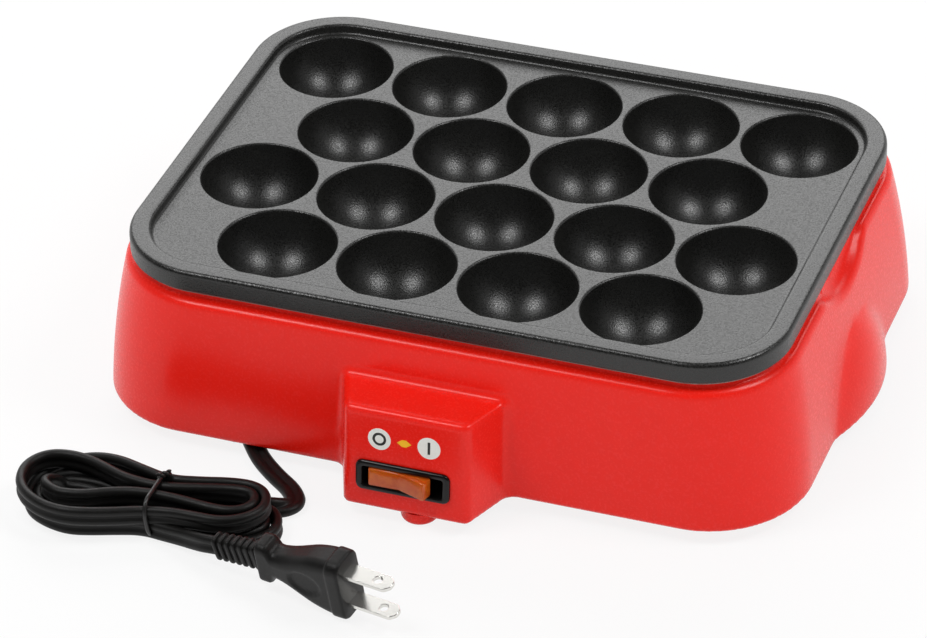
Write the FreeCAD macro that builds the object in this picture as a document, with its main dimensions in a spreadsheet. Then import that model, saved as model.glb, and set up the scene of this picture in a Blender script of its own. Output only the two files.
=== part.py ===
import FreeCAD, Part

# Electric takoyaki maker: a lift-off aluminium plate with 18 bowls on a drafted plastic base.
#
# Frame: millimetres, +X to the right, +Y to the back, +Z up. The origin lies on the table, at the
# middle of the box round the appliance without its cord. The switch box is at the front (-Y).
# Every driving dimension is a cell of the sheet "Sizes". The sheet "Places" works out from them
# where things lie and how they fit, so a size is written once and the pieces follow it.

import math
import os
import re

import Sketcher
from FreeCAD import Placement, Rotation, Vector

DOC = FreeCAD.newDocument("TakoyakiMaker")

# ------------------------------------------------------------------ driving dimensions (mm, deg)
SIZES = (
    # cooking plate
    ("bowl_pitch", "43.0", "spacing of neighbouring bowls"),
    ("bowl_mouth_radius", "20.2", "radius of a bowl at the plate's field"),
    ("bowl_depth", "19.0", "depth of a bowl below the field"),
    ("bowl_wall", "2.0", "thickness of a bowl's wall"),
    ("end_room", "8.262", "from the outer bowls' outside to the short edges of the plate"),
    ("side_room", "8.3", "from the outer bowls' outside to the long edges of the plate"),
    ("plate_corner", "31.5", "corner radius of the plate in plan"),
    ("field_thickness", "2.4", "thickness of the plate's flat field"),
    ("rim_width", "7.0", "width of the plate's raised rim"),
    ("rim_rise", "3.3", "height of the rim above the field"),
    ("skirt_drop", "4.3", "how far the plate's skirt hangs below the field"),
    ("skirt_wall", "2.4", "thickness of the skirt"),
    ("rim_rounding", "1.2", "rounding of the rim's edges"),
    # reflector tray
    ("tray_sheet", "0.8", "sheet thickness of the reflector tray"),
    ("tray_depth", "24.7", "tray's floor below its flange"),
    ("tray_floor_radius", "3.0", "inner radius where the tray's wall meets its floor"),
    ("flange_inset", "1.2", "how far the tray's flange stays inside the plate's edge"),
    ("tray_gap", "1.2", "gap between the tray's wall and the opening in the base"),
    # base shell
    ("foot_height", "5.0", "the base's lower edge above the table"),
    ("shell_height", "51.0", "height of the red shell itself"),
    ("shelf_x", "2.1", "shell's top beyond the plate at each end"),
    ("shelf_y", "2.2", "shell's top beyond the plate at the front and back"),
    ("flare_x", "6.3", "lower edge beyond the shell's top at each end"),
    ("flare_y", "5.5", "lower edge beyond the shell's top at the front and back"),
    ("base_corner", "36.0", "corner radius of the shell's lower edge in plan"),
    ("shoulder_corner", "36.5", "corner radius of the shell's top in plan"),
    ("wall_bow", "1.2", "how far the walls bow outwards at half height"),
    ("shell_wall", "2.4", "wall thickness of the shell"),
    ("shoulder_rounding", "2.2", "rounding of the shell's top edge"),
    ("bead_height", "1.9", "bead round the opening, which carries the tray"),
    ("bead_width", "3.0", "width of that bead"),
    # grips and finger scoops on the two ends
    ("grip_width", "61.0", "width of a grip at the lower edge"),
    ("grip_height", "31.0", "height of a grip"),
    ("grip_reach", "7.0", "how far a grip stands out at the lower edge"),
    ("scoop_width", "46.0", "width of a finger scoop at the shell's top"),
    ("scoop_depth", "8.0", "depth of a finger scoop"),
    ("scoop_wall", "2.0", "wall behind and below a finger scoop"),
    # switch box on the front
    ("box_reach", "19.4", "how far the switch box stands out at the lower edge"),
    ("box_width", "43.5", "switch box along X at the lower edge"),
    ("box_top_width", "41.0", "switch box along X at its top"),
    ("box_height", "37.0", "height of the switch box above the lower edge"),
    ("box_lean", "6.2", "lean of the box's front face from upright, degrees"),
    ("box_wall", "2.2", "wall thickness of the switch box"),
    ("box_edge", "2.4", "rounding of the box's outer edges"),
    # rocker switch
    ("bezel_length", "32.0", "switch bezel along X"),
    ("bezel_height", "10.8", "switch bezel up the face"),
    ("bezel_stand", "1.2", "how far the bezel stands out of the face"),
    ("bezel_centre", "12.6", "middle of the bezel above the box's lower edge, up the face"),
    ("bezel_border", "1.8", "width of the bezel's border"),
    ("switch_body_depth", "15.0", "switch body behind the face"),
    ("switch_wall", "1.0", "wall thickness of the switch body"),
    ("rocker_gap", "0.4", "clearance between the rocker and the bezel's border"),
    ("rocker_pivot_radius", "1.5", "radius of the rocker's pivot pins"),
    ("rocker_throw", "20.0", "the rocker's travel from off to on, degrees"),
    ("rocker_thickness", "6.5", "rocker from its pivot to its face"),
    ("tab_width", "4.8", "blade terminals: width"),
    ("tab_thickness", "0.8", "blade terminals: thickness"),
    ("tab_length", "7.0", "blade terminals: length"),
    # bottom cover
    ("cover_thickness", "2.4", "bottom cover"),
    ("cover_inset", "0.4", "cover's face above the shell's lower edge"),
    ("cover_gap", "0.3", "gap between the cover and the shell's wall"),
    ("foot_radius", "6.5", "radius of a foot"),
    ("foot_rounding", "2.0", "rounding of a foot's lower edge"),
    ("front_foot_setback", "7.0", "front foot's middle behind the box's front edge"),
    ("front_foot_x", "3.5", "front foot's middle to the right of the box's middle"),
    ("foot_spread_x", "94.0", "corner feet from the middle, along X"),
    ("foot_spread_y", "62.0", "corner feet from the middle, along Y"),
    ("vent_length", "30.0", "vent slots in the cover: length"),
    ("vent_width", "3.0", "vent slots: width"),
    ("vent_pitch", "8.0", "vent slots: spacing"),
    ("post_radius", "4.2", "radius of the tray's posts and the shell's bosses"),
    ("post_spread_x", "62.0", "tray's posts from the middle, along X"),
    ("post_spread_y", "56.0", "tray's posts from the middle, along Y"),
    # screws
    ("screw_radius", "1.6", "shank radius of the self-tapping screws"),
    ("screw_fit", "0.05", "radial clearance of a screw in its hole"),
    ("screw_length", "14.0", "shank length of the screws"),
    ("screw_head_radius", "3.2", "radius of a screw's head"),
    ("screw_head_height", "2.2", "height of a screw's head"),
    # heating element
    ("heater_radius", "3.3", "radius of the sheathed heating element"),
    ("heater_drop", "19.5", "element's centre line below the plate's field"),
    ("heater_bend", "16.0", "bend radius of the element's centre line"),
    ("heater_end_gap", "5.2", "element's cross run from the tray's end wall"),
    ("clip_spacing", "55.0", "heater clips from the middle, along X"),
    ("clip_width", "8.0", "width of a heater clip"),
    ("clip_sheet", "0.8", "sheet thickness of a heater clip"),
    ("rivet_radius", "1.2", "radius of a rivet's shank"),
    ("rivet_head", "2.2", "radius of a rivet's head"),
    ("rivet_sheet", "0.8", "height of a rivet's head"),
    ("seal_radius", "4.6", "radius of an end seal"),
    ("pin_radius", "1.2", "radius of an element's terminal pin"),
    ("pin_length", "4.0", "terminal pin beyond its seal"),
    # thermostat and thermal fuse under the tray
    ("thermostat_radius", "8.0", "radius of the thermostat's cap"),
    ("thermostat_cap", "3.0", "height of the thermostat's metal cap"),
    ("thermostat_body", "5.0", "height of its ceramic body"),
    ("thermostat_ear", "12.0", "hole of its flange from the middle"),
    ("fuse_radius", "2.0", "radius of the thermal fuse"),
    ("fuse_length", "12.0", "length of the thermal fuse"),
    ("fuse_x", "-34.0", "the fuse's middle, along X"),
    ("bush_x", "-69.0", "cord bush, along X"),
    ("bush_inset", "12.9", "cord bush's middle behind the shell's front edge"),
    ("bush_half", "6.5", "half the bush across the cord"),
    ("bush_depth", "4.5", "half the bush along the cord"),
    ("bush_corner", "2.0", "corner radius of the bush"),
    ("bush_turn", "36.6", "turn of the bush, so that the cord leaves to the front right, degrees"),
    ("bush_low", "0.6", "bush's lower end above the table"),
    ("bush_flange", "1.5", "bush's flange over the cover: width and height"),
    ("connector_radius", "4.0", "radius of the closed-end connector"),
    ("connector_length", "14.0", "length of the closed-end connector"),
    ("lamp_radius", "1.5", "radius of the neon lamp in the switch"),
    ("recess_depth", "12.0", "depth of the switch's recess behind the face"),
    ("blade_spread", "9.0", "switch blades from the middle one"),
    ("sleeve_width", "6.4", "push-on sleeves: width"),
    ("sleeve_thick", "2.8", "push-on sleeves: thickness"),
    ("sleeve_length", "8.0", "push-on sleeves: length"),
    # mains cord, plug and tie
    ("cord_width", "7.0", "flat twin cord: width"),
    ("cord_thickness", "3.5", "flat twin cord: thickness"),
    ("lead_radius", "1.3", "radius of an insulated lead inside the base"),
    ("hank_height", "14.0", "two layers of cord on edge"),
    ("hank_rounding", "2.0", "rounding of the hank's outline solid"),
    ("tie_wire", "0.8", "radius of the wire tie"),
    ("plug_length", "34.0", "plug body without its strain relief"),
    ("plug_wide", "24.5", "plug body at the blades, across both blades"),
    ("plug_thick", "13.0", "plug body at the blades, the other way"),
    ("plug_block", "5.5", "length of the straight block at the blades"),
    ("plug_neck_wide", "10.5", "plug body at its neck"),
    ("plug_collar_wide", "16.5", "collar behind the neck"),
    ("plug_collar", "5.0", "length of the collar"),
    ("rib_count", "7", "ribs of the strain relief"),
    ("relief_length", "19.0", "length of the ribbed strain relief"),
    ("relief_wide", "9.4", "width of the strain relief's ribs"),
    ("relief_thick", "6.0", "thickness of the strain relief's ribs"),
    ("blade_spacing", "12.7", "spacing of the plug's blades"),
    ("blade_width", "6.3", "width of a blade"),
    ("blade_thickness", "1.5", "thickness of a blade"),
    ("blade_length", "17.3", "length of a blade"),
    ("blade_hole", "1.5", "radius of the hole in a blade"),
    ("blade_hole_at", "11.7", "that hole's middle from the plug's face"),
    ("plug_x", "1.1", "middle of the plug's face, along X"),
    ("plug_front", "164.1", "middle of the plug's face in front of the shell's middle"),
    ("plug_yaw", "-12.3", "plug's heading, degrees from +X"),
    ("plug_pitch", "2.0", "plug's blades tilted upwards, degrees"),
    ("plug_roll", "9.5", "plug's roll on the table, degrees"),
    ("relief_droop", "8.0", "strain relief's droop from the plug's axis, degrees"),
    ("thumb_radius", "18.0", "radius of the thumb rests on the plug"),
    ("thumb_depth", "1.2", "depth of the thumb rests"),
)

# ------------------------------------------------- worked-out places (formulas over the sizes)
PLACES = (
    # the middle of the plate and the shell lies behind the origin by half of what stands out in
    # front: the switch box, and the raised half of the rocker before it
    ("rocker_front", "(rocker_tip - rocker_pivot) * cos(rocker_throw / 2 * 1deg) + rocker_half"
                     " * sin(rocker_throw / 2 * 1deg) + rocker_pivot"),
    ("rocker_overhang", "rocker_front * face_up_z - (bezel_centre - rocker_half_up) * face_up_y"),
    ("middle_y", "(box_reach + rocker_overhang) / 2"),
    # the plate reaches as far as its outer bowls and the room beside them
    ("row_pitch", "bowl_pitch * sqrt(3) / 2"),
    ("bowl_radius", "(bowl_mouth_radius ^ 2 + bowl_depth ^ 2) / (2 * bowl_depth)"),
    ("dome_radius", "bowl_radius + bowl_wall"),
    ("plate_x", "2 * bowl_pitch + dome_radius + end_room"),
    ("plate_y", "1.5 * row_pitch + dome_radius + side_room"),
    ("box_front_y", "middle_y - plate_y - shelf_y - flare_y - box_reach"),
    # heights
    ("shell_bottom", "foot_height"),
    ("shell_top", "foot_height + shell_height"),
    ("shell_mid", "foot_height + shell_height / 2"),
    ("bead_top", "shell_top + bead_height"),
    ("plate_bottom", "bead_top + tray_sheet"),
    ("field_z", "plate_bottom + skirt_drop"),
    ("field_under", "field_z - field_thickness"),
    ("rim_top", "field_z + rim_rise"),
    ("tray_floor", "bead_top - tray_depth + tray_sheet"),
    ("tray_under", "tray_floor - tray_sheet"),
    ("cover_under", "foot_height + cover_inset"),
    ("cover_top", "cover_under + cover_thickness"),
    ("heater_z", "field_z - heater_drop"),
    # bowls
    ("bowl_centre_z", "field_z - bowl_depth + bowl_radius"),
    ("bowl_bottom", "field_z - bowl_depth"),
    ("long_row_x", "-2 * bowl_pitch"),
    ("long_row_y", "middle_y + 1.5 * row_pitch"),
    ("short_row_x", "-1.5 * bowl_pitch"),
    ("short_row_y", "middle_y + 0.5 * row_pitch"),
    # plate, tray and opening in plan (half lengths and corner radii)
    ("pan_x", "plate_x - rim_width"),
    ("pan_y", "plate_y - rim_width"),
    ("pan_corner", "plate_corner - rim_width"),
    ("under_x", "plate_x - skirt_wall"),
    ("under_y", "plate_y - skirt_wall"),
    ("under_corner", "plate_corner - skirt_wall"),
    ("tray_x", "pan_x + tray_sheet"),
    ("tray_y", "pan_y + tray_sheet"),
    ("tray_corner", "pan_corner + tray_sheet"),
    ("flange_x", "plate_x - flange_inset"),
    ("flange_y", "plate_y - flange_inset"),
    ("flange_corner", "plate_corner - flange_inset"),
    ("opening_x", "tray_x + tray_gap"),
    ("opening_y", "tray_y + tray_gap"),
    ("opening_corner", "tray_corner + tray_gap"),
    ("bead_x", "opening_x + bead_width"),
    ("bead_y", "opening_y + bead_width"),
    ("bead_corner", "opening_corner + bead_width"),
    # shell sections, outer and inner
    ("shoulder_x", "plate_x + shelf_x"),
    ("shoulder_y", "plate_y + shelf_y"),
    ("base_x", "shoulder_x + flare_x"),
    ("base_y", "shoulder_y + flare_y"),
    ("waist_x", "(base_x + shoulder_x) / 2 + wall_bow"),
    ("waist_y", "(base_y + shoulder_y) / 2 + wall_bow"),
    ("waist_corner", "(base_corner + shoulder_corner) / 2 + wall_bow"),
    ("base_in_x", "base_x - shell_wall"),
    ("base_in_y", "base_y - shell_wall"),
    ("base_in_corner", "base_corner - shell_wall"),
    ("waist_in_x", "waist_x - shell_wall"),
    ("waist_in_y", "waist_y - shell_wall"),
    ("waist_in_corner", "waist_corner - shell_wall"),
    ("shoulder_in_x", "shoulder_x - shell_wall"),
    ("shoulder_in_y", "shoulder_y - shell_wall"),
    ("shoulder_in_corner", "shoulder_corner - shell_wall"),
    ("shelf_under", "shell_top - shell_wall"),
    ("brow_z", "shell_top - shoulder_rounding"),
    ("brow_x", "shoulder_x + shoulder_rounding * 0.2"),
    ("brow_y", "shoulder_y + shoulder_rounding * 0.2"),
    ("brow_corner", "shoulder_corner"),
    ("crown_z", "shell_top - shoulder_rounding * 0.29"),
    ("crown_x", "shoulder_x - shoulder_rounding * 0.29"),
    ("crown_y", "shoulder_y - shoulder_rounding * 0.29"),
    ("crown_corner", "shoulder_corner - shoulder_rounding * 0.29"),
    ("top_x", "shoulder_x - shoulder_rounding"),
    ("top_y", "shoulder_y - shoulder_rounding"),
    ("top_corner", "shoulder_corner - shoulder_rounding"),
    # finger scoop: an arc over its chord, cut inwards as far as the bead
    ("scoop_radius", "((scoop_width / 2) ^ 2 + scoop_depth ^ 2) / (2 * scoop_depth)"),
    ("scoop_axis_z", "shell_top - scoop_depth + scoop_radius"),
    ("scoop_back_x", "opening_x + scoop_wall"),
    ("scoop_back_length", "base_x - scoop_back_x + grip_reach"),
    ("scoop_block_x", "shoulder_x - 0.1"),
    ("scoop_block_near_y", "middle_y - scoop_width / 2 - scoop_wall"),
    ("scoop_block_far_y", "middle_y + scoop_width / 2 + scoop_wall"),
    ("scoop_block_z", "shell_top - scoop_depth - scoop_wall"),
    ("scoop_block_height", "scoop_depth + scoop_wall - shell_wall / 2"),
    ("grip_chord_x", "base_x - 5"),
    # switch box
    ("box_half", "box_width / 2"),
    ("box_top_half", "box_top_width / 2"),
    ("box_draft", "atan((box_half - box_top_half) / box_height)"),
    ("box_top", "foot_height + box_height"),
    ("box_top_y", "box_front_y + box_height * tan(box_lean * 1deg)"),
    ("box_back_y", "middle_y - shoulder_y + shell_wall / 2"),
    ("box_in_half", "box_half - box_wall"),
    ("box_in_top_half", "box_top_half - box_wall"),
    ("box_in_front_y", "box_front_y + box_wall"),
    ("box_in_top", "box_top - box_wall"),
    ("box_in_top_y", "box_in_front_y + (box_height - box_wall) * tan(box_lean * 1deg)"),
    ("box_in_back_y", "middle_y - shoulder_y + 3 * shell_wall"),
    # switch: its place on the leaning face, and its parts across and along the face
    ("face_up_y", "sin(box_lean * 1deg)"),
    ("face_up_z", "cos(box_lean * 1deg)"),
    ("switch_y", "box_front_y + bezel_centre * face_up_y"),
    ("switch_z", "foot_height + bezel_centre * face_up_z"),
    ("bezel_half", "bezel_length / 2"),
    ("bezel_half_up", "bezel_height / 2"),
    ("window_half", "bezel_half - bezel_border"),
    ("window_half_up", "bezel_half_up - bezel_border"),
    ("switch_body_half", "window_half + switch_wall"),
    ("switch_body_half_up", "window_half_up + switch_wall"),
    ("aperture_half", "switch_body_half + cover_gap"),
    ("aperture_half_up", "switch_body_half_up + cover_gap"),
    ("rocker_half", "window_half - rocker_gap - rocker_thickness * sin(rocker_throw / 2 * 1deg)"),
    ("rocker_half_up", "window_half_up - rocker_gap"),
    ("rocker_pivot", "-bezel_stand - 0.6 * rocker_thickness"),
    # bottom cover
    ("cover_x", "base_in_x - cover_gap"),
    ("cover_y", "base_in_y - cover_gap"),
    ("cover_corner", "base_in_corner - cover_gap"),
    ("tongue_half", "box_in_half - cover_gap"),
    ("tongue_front_y", "box_in_front_y + cover_gap"),
    ("front_foot_y", "box_front_y + front_foot_setback"),
    ("boss_reach", "base_in_corner - post_radius - 1.5"),
    ("boss_x", "base_in_x - base_in_corner + boss_reach * sqrt(0.5)"),
    ("boss_y", "base_in_y - base_in_corner + boss_reach * sqrt(0.5)"),
    ("boss_height", "shell_mid - 4.5 - cover_top"),
    ("boss_near_y", "middle_y - boss_y"),
    ("post_near_y", "middle_y - post_spread_y"),
    ("foot_near_y", "middle_y - foot_spread_y"),
    ("foot_disc", "foot_height - 0.2"),
    ("foot_neck", "cover_under + cover_thickness / 2 - foot_disc"),
    ("foot_neck_radius", "foot_radius - 2"),
    ("tongue_back_y", "middle_y - cover_y + 6"),
    ("vent_half", "vent_length / 2"),
    ("vent_half_width", "vent_width / 2"),
    ("vent_corner", "vent_width / 2 - 0.02"),
    ("vent_near_y", "middle_y - 2 * vent_pitch"),
    ("screw_hole", "screw_radius + screw_fit"),
    # heating element
    ("heater_far_x", "-(pan_x - heater_end_gap)"),
    ("heater_near_x", "pan_x - 2.5"),
    ("heater_low_y", "middle_y - row_pitch"),
    ("heater_high_y", "middle_y + row_pitch"),
    ("seal_hole", "seal_radius + screw_fit"),
    ("seal_length", "tray_sheet + 5.5"),
    ("pin_x", "heater_near_x + seal_length + pin_length - lead_radius - 0.5"),
    ("clip_in", "heater_radius + screw_fit"),
    ("clip_foot", "clip_in + clip_sheet + 6"),
    ("clip_rivet_at", "clip_in + clip_sheet + 3"),
    ("rivet_hole", "rivet_radius + screw_fit"),
    ("clip_rivet_low0", "heater_low_y - clip_rivet_at"),
    ("clip_rivet_low1", "heater_low_y + clip_rivet_at"),
    ("clip_rivet_high0", "heater_high_y - clip_rivet_at"),
    ("clip_rivet_high1", "heater_high_y + clip_rivet_at"),
    ("post_far_y", "middle_y + post_spread_y"),
    ("thermostat_flange_z", "tray_under - clip_sheet"),
    ("thermostat_low_z", "tray_under - thermostat_cap - thermostat_body"),
    ("fuse_y", "middle_y"),
    ("fuse_rivet_at", "fuse_radius + screw_fit + clip_sheet + 2.4"),
    ("fuse_strap_foot", "fuse_rivet_at + 2.4"),
    ("fuse_rivet_low", "fuse_y - fuse_rivet_at"),
    ("fuse_rivet_high", "fuse_y + fuse_rivet_at"),
    ("bush_y", "middle_y - base_y + bush_inset"),
    ("bush_top", "cover_top + 3.2"),
    ("bush_flange_half", "bush_half + bush_flange"),
    ("bush_flange_depth", "bush_depth + bush_flange"),
    ("bush_flange_corner", "bush_corner + bush_flange"),
    ("recess_corner", "rocker_gap"),
    ("bezel_corner", "bezel_border"),
    ("pivot_hole", "rocker_pivot_radius + screw_fit"),
    ("rocker_crest", "rocker_pivot + rocker_thickness"),
    ("rocker_tip", "rocker_crest + rocker_half * tan(rocker_throw / 2 * 1deg)"),
    ("rocker_heel", "rocker_crest - 2.4"),
    ("rocker_foot", "rocker_pivot + rocker_pivot_radius"),
    ("rocker_hub", "rocker_pivot_radius + 1.5"),
    ("plug_wide_half", "plug_wide / 2"),
    ("plug_thick_half", "plug_thick / 2"),
    ("plug_block_corner", "plug_thick * 0.3"),
    ("neck_wide_half", "plug_neck_wide / 2"),
    ("neck_thick_half", "plug_thick * 0.36"),
    ("neck_corner", "plug_thick * 0.2"),
    ("plug_neck_x", "plug_length - plug_collar"),
    ("plug_middle_x", "(plug_block + plug_neck_x) / 2"),
    ("middle_wide_half", "plug_wide_half * 0.68"),
    ("middle_thick_half", "plug_thick * 0.44"),
    ("middle_corner", "plug_thick * 0.25"),
    ("collar_wide_half", "plug_collar_wide / 2"),
    ("collar_corner", "plug_thick * 0.22"),
    ("thumb_y", "plug_thick_half + thumb_radius - thumb_depth - 0.8"),
    ("bush_hole_half", "bush_half + screw_fit"),
    ("bush_hole_depth", "bush_depth + screw_fit"),
)


# rivets: two for each heater clip, then two for the thermostat and two for the fuse's strap
RIVET_PLACES = tuple((x, f"clip_rivet_{row}{side}") for x in ("clip_spacing", "-clip_spacing")
                     for row in ("low", "high") for side in range(2))
RIVET_PLACES += (("thermostat_ear", "middle_y"), ("-thermostat_ear", "middle_y"),
                 ("fuse_x", "fuse_rivet_low"), ("fuse_x", "fuse_rivet_high"))

# a grip bulges out of the end wall: at each share of its height, its half chord and its reach
GRIP_LEVELS = ((0.0, 1.307, 1.0), (0.25, 1.18, 0.9), (0.5, 0.993, 0.7), (0.75, 0.741, 0.35), (1.0, 0.311, -0.5))


def grip_places():
    """Formulas for the sections of a grip: height, half chord, reach and radius of its front."""
    rows = []
    for level, (height, chord, reach) in enumerate(GRIP_LEVELS):
        depth = f"grip_front{level} - grip_chord_x"
        rows.append((f"grip_z{level}", f"shell_bottom + grip_height * {height}"))
        rows.append((f"grip_front{level}", f"base_x + grip_reach * ({reach})"))
        rows.append((f"grip_half{level}", f"grip_width / 2 * {chord}"))
        rows.append((f"grip_low{level}", f"middle_y - grip_half{level}"))
        rows.append((f"grip_high{level}", f"middle_y + grip_half{level}"))
        rows.append((f"grip_round{level}", f"(grip_half{level} ^ 2 + ({depth}) ^ 2) / (2 * ({depth}))"))
    return tuple(rows)


PLACES += grip_places()


def sheet_path(text):
    """Put the sheet's name before every alias in a formula."""
    def with_sheet(found):
        word = found.group(0)
        if word in SIZE_NAMES:
            return "Sizes." + word
        if word in PLACE_NAMES:
            return "Places." + word
        return word
    return re.sub(r"[a-z][a-z_0-9]*", with_sheet, text)


SIZE_NAMES = {row[0] for row in SIZES}
PLACE_NAMES = {row[0] for row in PLACES}


def fill_sizes():
    """Write the driving dimensions into their sheet."""
    sheet = DOC.addObject("Spreadsheet::Sheet", "Sizes")
    for line, (alias, text, meaning) in enumerate(SIZES, start=1):
        sheet.set(f"A{line}", meaning)
        sheet.set(f"B{line}", text)
        sheet.setAlias(f"B{line}", alias)
    return sheet


def fill_places():
    """Write the worked-out places into their sheet, as formulas over the sizes."""
    sheet = DOC.addObject("Spreadsheet::Sheet", "Places")
    for line, (alias, formula) in enumerate(PLACES, start=1):
        sheet.set(f"B{line}", "=" + sheet_path(formula))
        sheet.setAlias(f"B{line}", alias)
    return sheet


SIZE_SHEET = fill_sizes()
PLACE_SHEET = fill_places()
DOC.recompute()


def mm(alias):
    """Value of one alias of either sheet; a leading minus turns its sign."""
    if alias.startswith("-"):
        return -mm(alias[1:])
    sheet = SIZE_SHEET if alias in SIZE_NAMES else PLACE_SHEET
    value = sheet.get(alias)
    return float(getattr(value, "Value", value))


def bind(thing, **formulas):
    """Bind properties to formulas; a double underscore in a name stands for a dot."""
    for name, formula in formulas.items():
        thing.setExpression(name.replace("__", "."), sheet_path(formula))
    return thing


# ------------------------------------------------------------------------------ sketch helpers
def new_body(label):
    """Start the PartDesign body of one sub-part."""
    body = DOC.addObject("PartDesign::Body", label)
    body.Label = label
    return body


def origin_feature(body, role):
    """Plane or axis of a body's own origin, by its role."""
    return next(item for item in body.Origin.OriginFeatures if item.Role == role)


def sketch_at(body, name, height=None, role="XY_Plane", **offset):
    """Sketch on an origin plane, lifted by the alias height or placed by offset formulas."""
    sketch = body.newObject("Sketcher::SketchObject", name)
    sketch.AttachmentSupport = [(origin_feature(body, role), "")]
    sketch.MapMode = "FlatFace"
    if height:
        offset["AttachmentOffset__Base__z"] = height
    return bind(sketch, **offset)


def face_sketch(body, name, depth="0"):
    """Sketch on the switch box's leaning face, its middle on the switch and its normal outwards."""
    sketch = sketch_at(body, name)
    sketch.AttachmentOffset = Placement(Vector(), Rotation(Vector(1, 0, 0), 90 - mm("box_lean")))
    return bind(sketch, AttachmentOffset__Rotation__Angle="90 - box_lean",
                AttachmentOffset__Base__y=f"switch_y - ({depth}) * face_up_z",
                AttachmentOffset__Base__z=f"switch_z + ({depth}) * face_up_y")


def dimension(sketch, kind, *where, alias):
    """Add a dimensional constraint bound to an alias, which may carry a minus."""
    value = mm(alias)
    index = sketch.addConstraint(Sketcher.Constraint(kind, *where, value))
    sketch.setExpression(f"Constraints[{index}]", sheet_path(alias))


def rounded_rectangle(sketch, half_x, half_y, corner, middle=None):
    """Closed rectangle with round corners; middle is the alias of its middle along Y."""
    hx, hy, r = mm(half_x), mm(half_y), mm(corner)
    my = mm(middle) if middle else 0.0
    starts = ((hx, my - hy + r), (hx - r, my + hy), (-hx, my + hy - r), (-hx + r, my - hy))
    ends = ((hx, my + hy - r), (-hx + r, my + hy), (-hx, my - hy + r), (hx - r, my - hy))
    centres = ((hx - r, my + hy - r), (-hx + r, my + hy - r), (-hx + r, my - hy + r), (hx - r, my - hy + r))
    for side in range(4):
        sketch.addGeometry(Part.LineSegment(Vector(*starts[side], 0), Vector(*ends[side], 0)))
        circle = Part.Circle(Vector(*centres[side], 0), Vector(0, 0, 1), r)
        turn = side * math.pi / 2
        sketch.addGeometry(Part.ArcOfCircle(circle, turn, turn + math.pi / 2))
    for side in range(4):
        line, arc = 2 * side, 2 * side + 1
        following = (line + 2) % 8
        sketch.addConstraint(Sketcher.Constraint("Tangent", line, 2, arc, 1))
        sketch.addConstraint(Sketcher.Constraint("Tangent", arc, 2, following, 1))
        sketch.addConstraint(Sketcher.Constraint("Horizontal" if side % 2 else "Vertical", line))
        if side:
            sketch.addConstraint(Sketcher.Constraint("Equal", 1, arc))
    dimension(sketch, "Radius", 1, alias=corner)
    dimension(sketch, "DistanceX", -1, 1, 0, 1, alias=half_x)
    dimension(sketch, "DistanceX", 4, 1, -1, 1, alias=half_x)
    for line, sign in ((2, 1), (6, -1)):
        index = sketch.addConstraint(Sketcher.Constraint("DistanceY", -1, 1, line, 1, my + sign * hy))
        formula = f"{half_y} * {sign}" + (f" + {middle}" if middle else "")
        sketch.setExpression(f"Constraints[{index}]", sheet_path(formula))
    return sketch


def polygon(sketch, corners):
    """Closed outline through corners, each a pair of formulas' aliases, '-alias' or '0'."""
    places = [tuple(0.0 if word == "0" else mm(word) for word in corner) for corner in corners]
    count = len(corners)
    for index in range(count):
        start, end = places[index], places[(index + 1) % count]
        sketch.addGeometry(Part.LineSegment(Vector(*start, 0), Vector(*end, 0)))
    for index in range(count):
        sketch.addConstraint(Sketcher.Constraint("Coincident", index, 2, (index + 1) % count, 1))
    for index, (word_x, word_y) in enumerate(corners):
        for word, kind, axis in ((word_x, "DistanceX", -2), (word_y, "DistanceY", -1)):
            if word == "0":
                sketch.addConstraint(Sketcher.Constraint("PointOnObject", index, 1, axis))
            else:
                dimension(sketch, kind, -1, 1, index, 1, alias=word)
    return sketch


def circle(sketch, radius, x="0", y="0"):
    """Circle with its radius and its centre bound to aliases."""
    centre = Vector(0.0 if x == "0" else mm(x), 0.0 if y == "0" else mm(y), 0)
    ring = sketch.addGeometry(Part.Circle(centre, Vector(0, 0, 1), mm(radius)))
    dimension(sketch, "Radius", ring, alias=radius)
    for word, kind, axis in ((x, "DistanceX", -2), (y, "DistanceY", -1)):
        if word == "0":
            sketch.addConstraint(Sketcher.Constraint("PointOnObject", ring, 3, axis))
        else:
            dimension(sketch, kind, -1, 1, ring, 3, alias=word)
    return sketch


# ----------------------------------------------------------------------------- feature helpers
def pad(body, sketch, length, name, reverse=False, both=False):
    """Pad a sketch by a formula's length."""
    feature = body.newObject("PartDesign::Pad", name)
    feature.Profile = sketch
    feature.Reversed = reverse
    feature.Midplane = both
    return bind(feature, Length=length)


def pocket(body, sketch, length, name, reverse=False, both=False):
    """Cut a sketch into the body by a formula's length, away from the sketch's normal."""
    feature = body.newObject("PartDesign::Pocket", name)
    feature.Profile = sketch
    feature.Reversed = reverse
    feature.Midplane = both
    return bind(feature, Length=length)


def loft(body, kind, sketches, name, ruled=False):
    """AdditiveLoft or SubtractiveLoft through sketches."""
    feature = body.newObject("PartDesign::" + kind, name)
    feature.Profile = sketches[0]
    feature.Sections = list(sketches[1:])
    feature.Ruled = ruled
    return feature


def fillet(body, base, edges, radius, name):
    """Fillet some edges of the body's last feature."""
    feature = body.newObject("PartDesign::Fillet", name)
    feature.Base = (base, edges)
    return bind(feature, Radius=radius)


def edges_where(feature, test):
    """Names of a feature's edges that pass a test."""
    DOC.recompute()
    return [f"Edge{index}" for index, edge in enumerate(feature.Shape.Edges, start=1) if test(edge)]


def flat_at(height, tolerance=0.02):
    """Test for edges that lie level at one height."""
    def test(edge):
        box = edge.BoundBox
        return abs(box.ZMin - height) < tolerance and abs(box.ZMax - height) < tolerance
    return test


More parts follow.
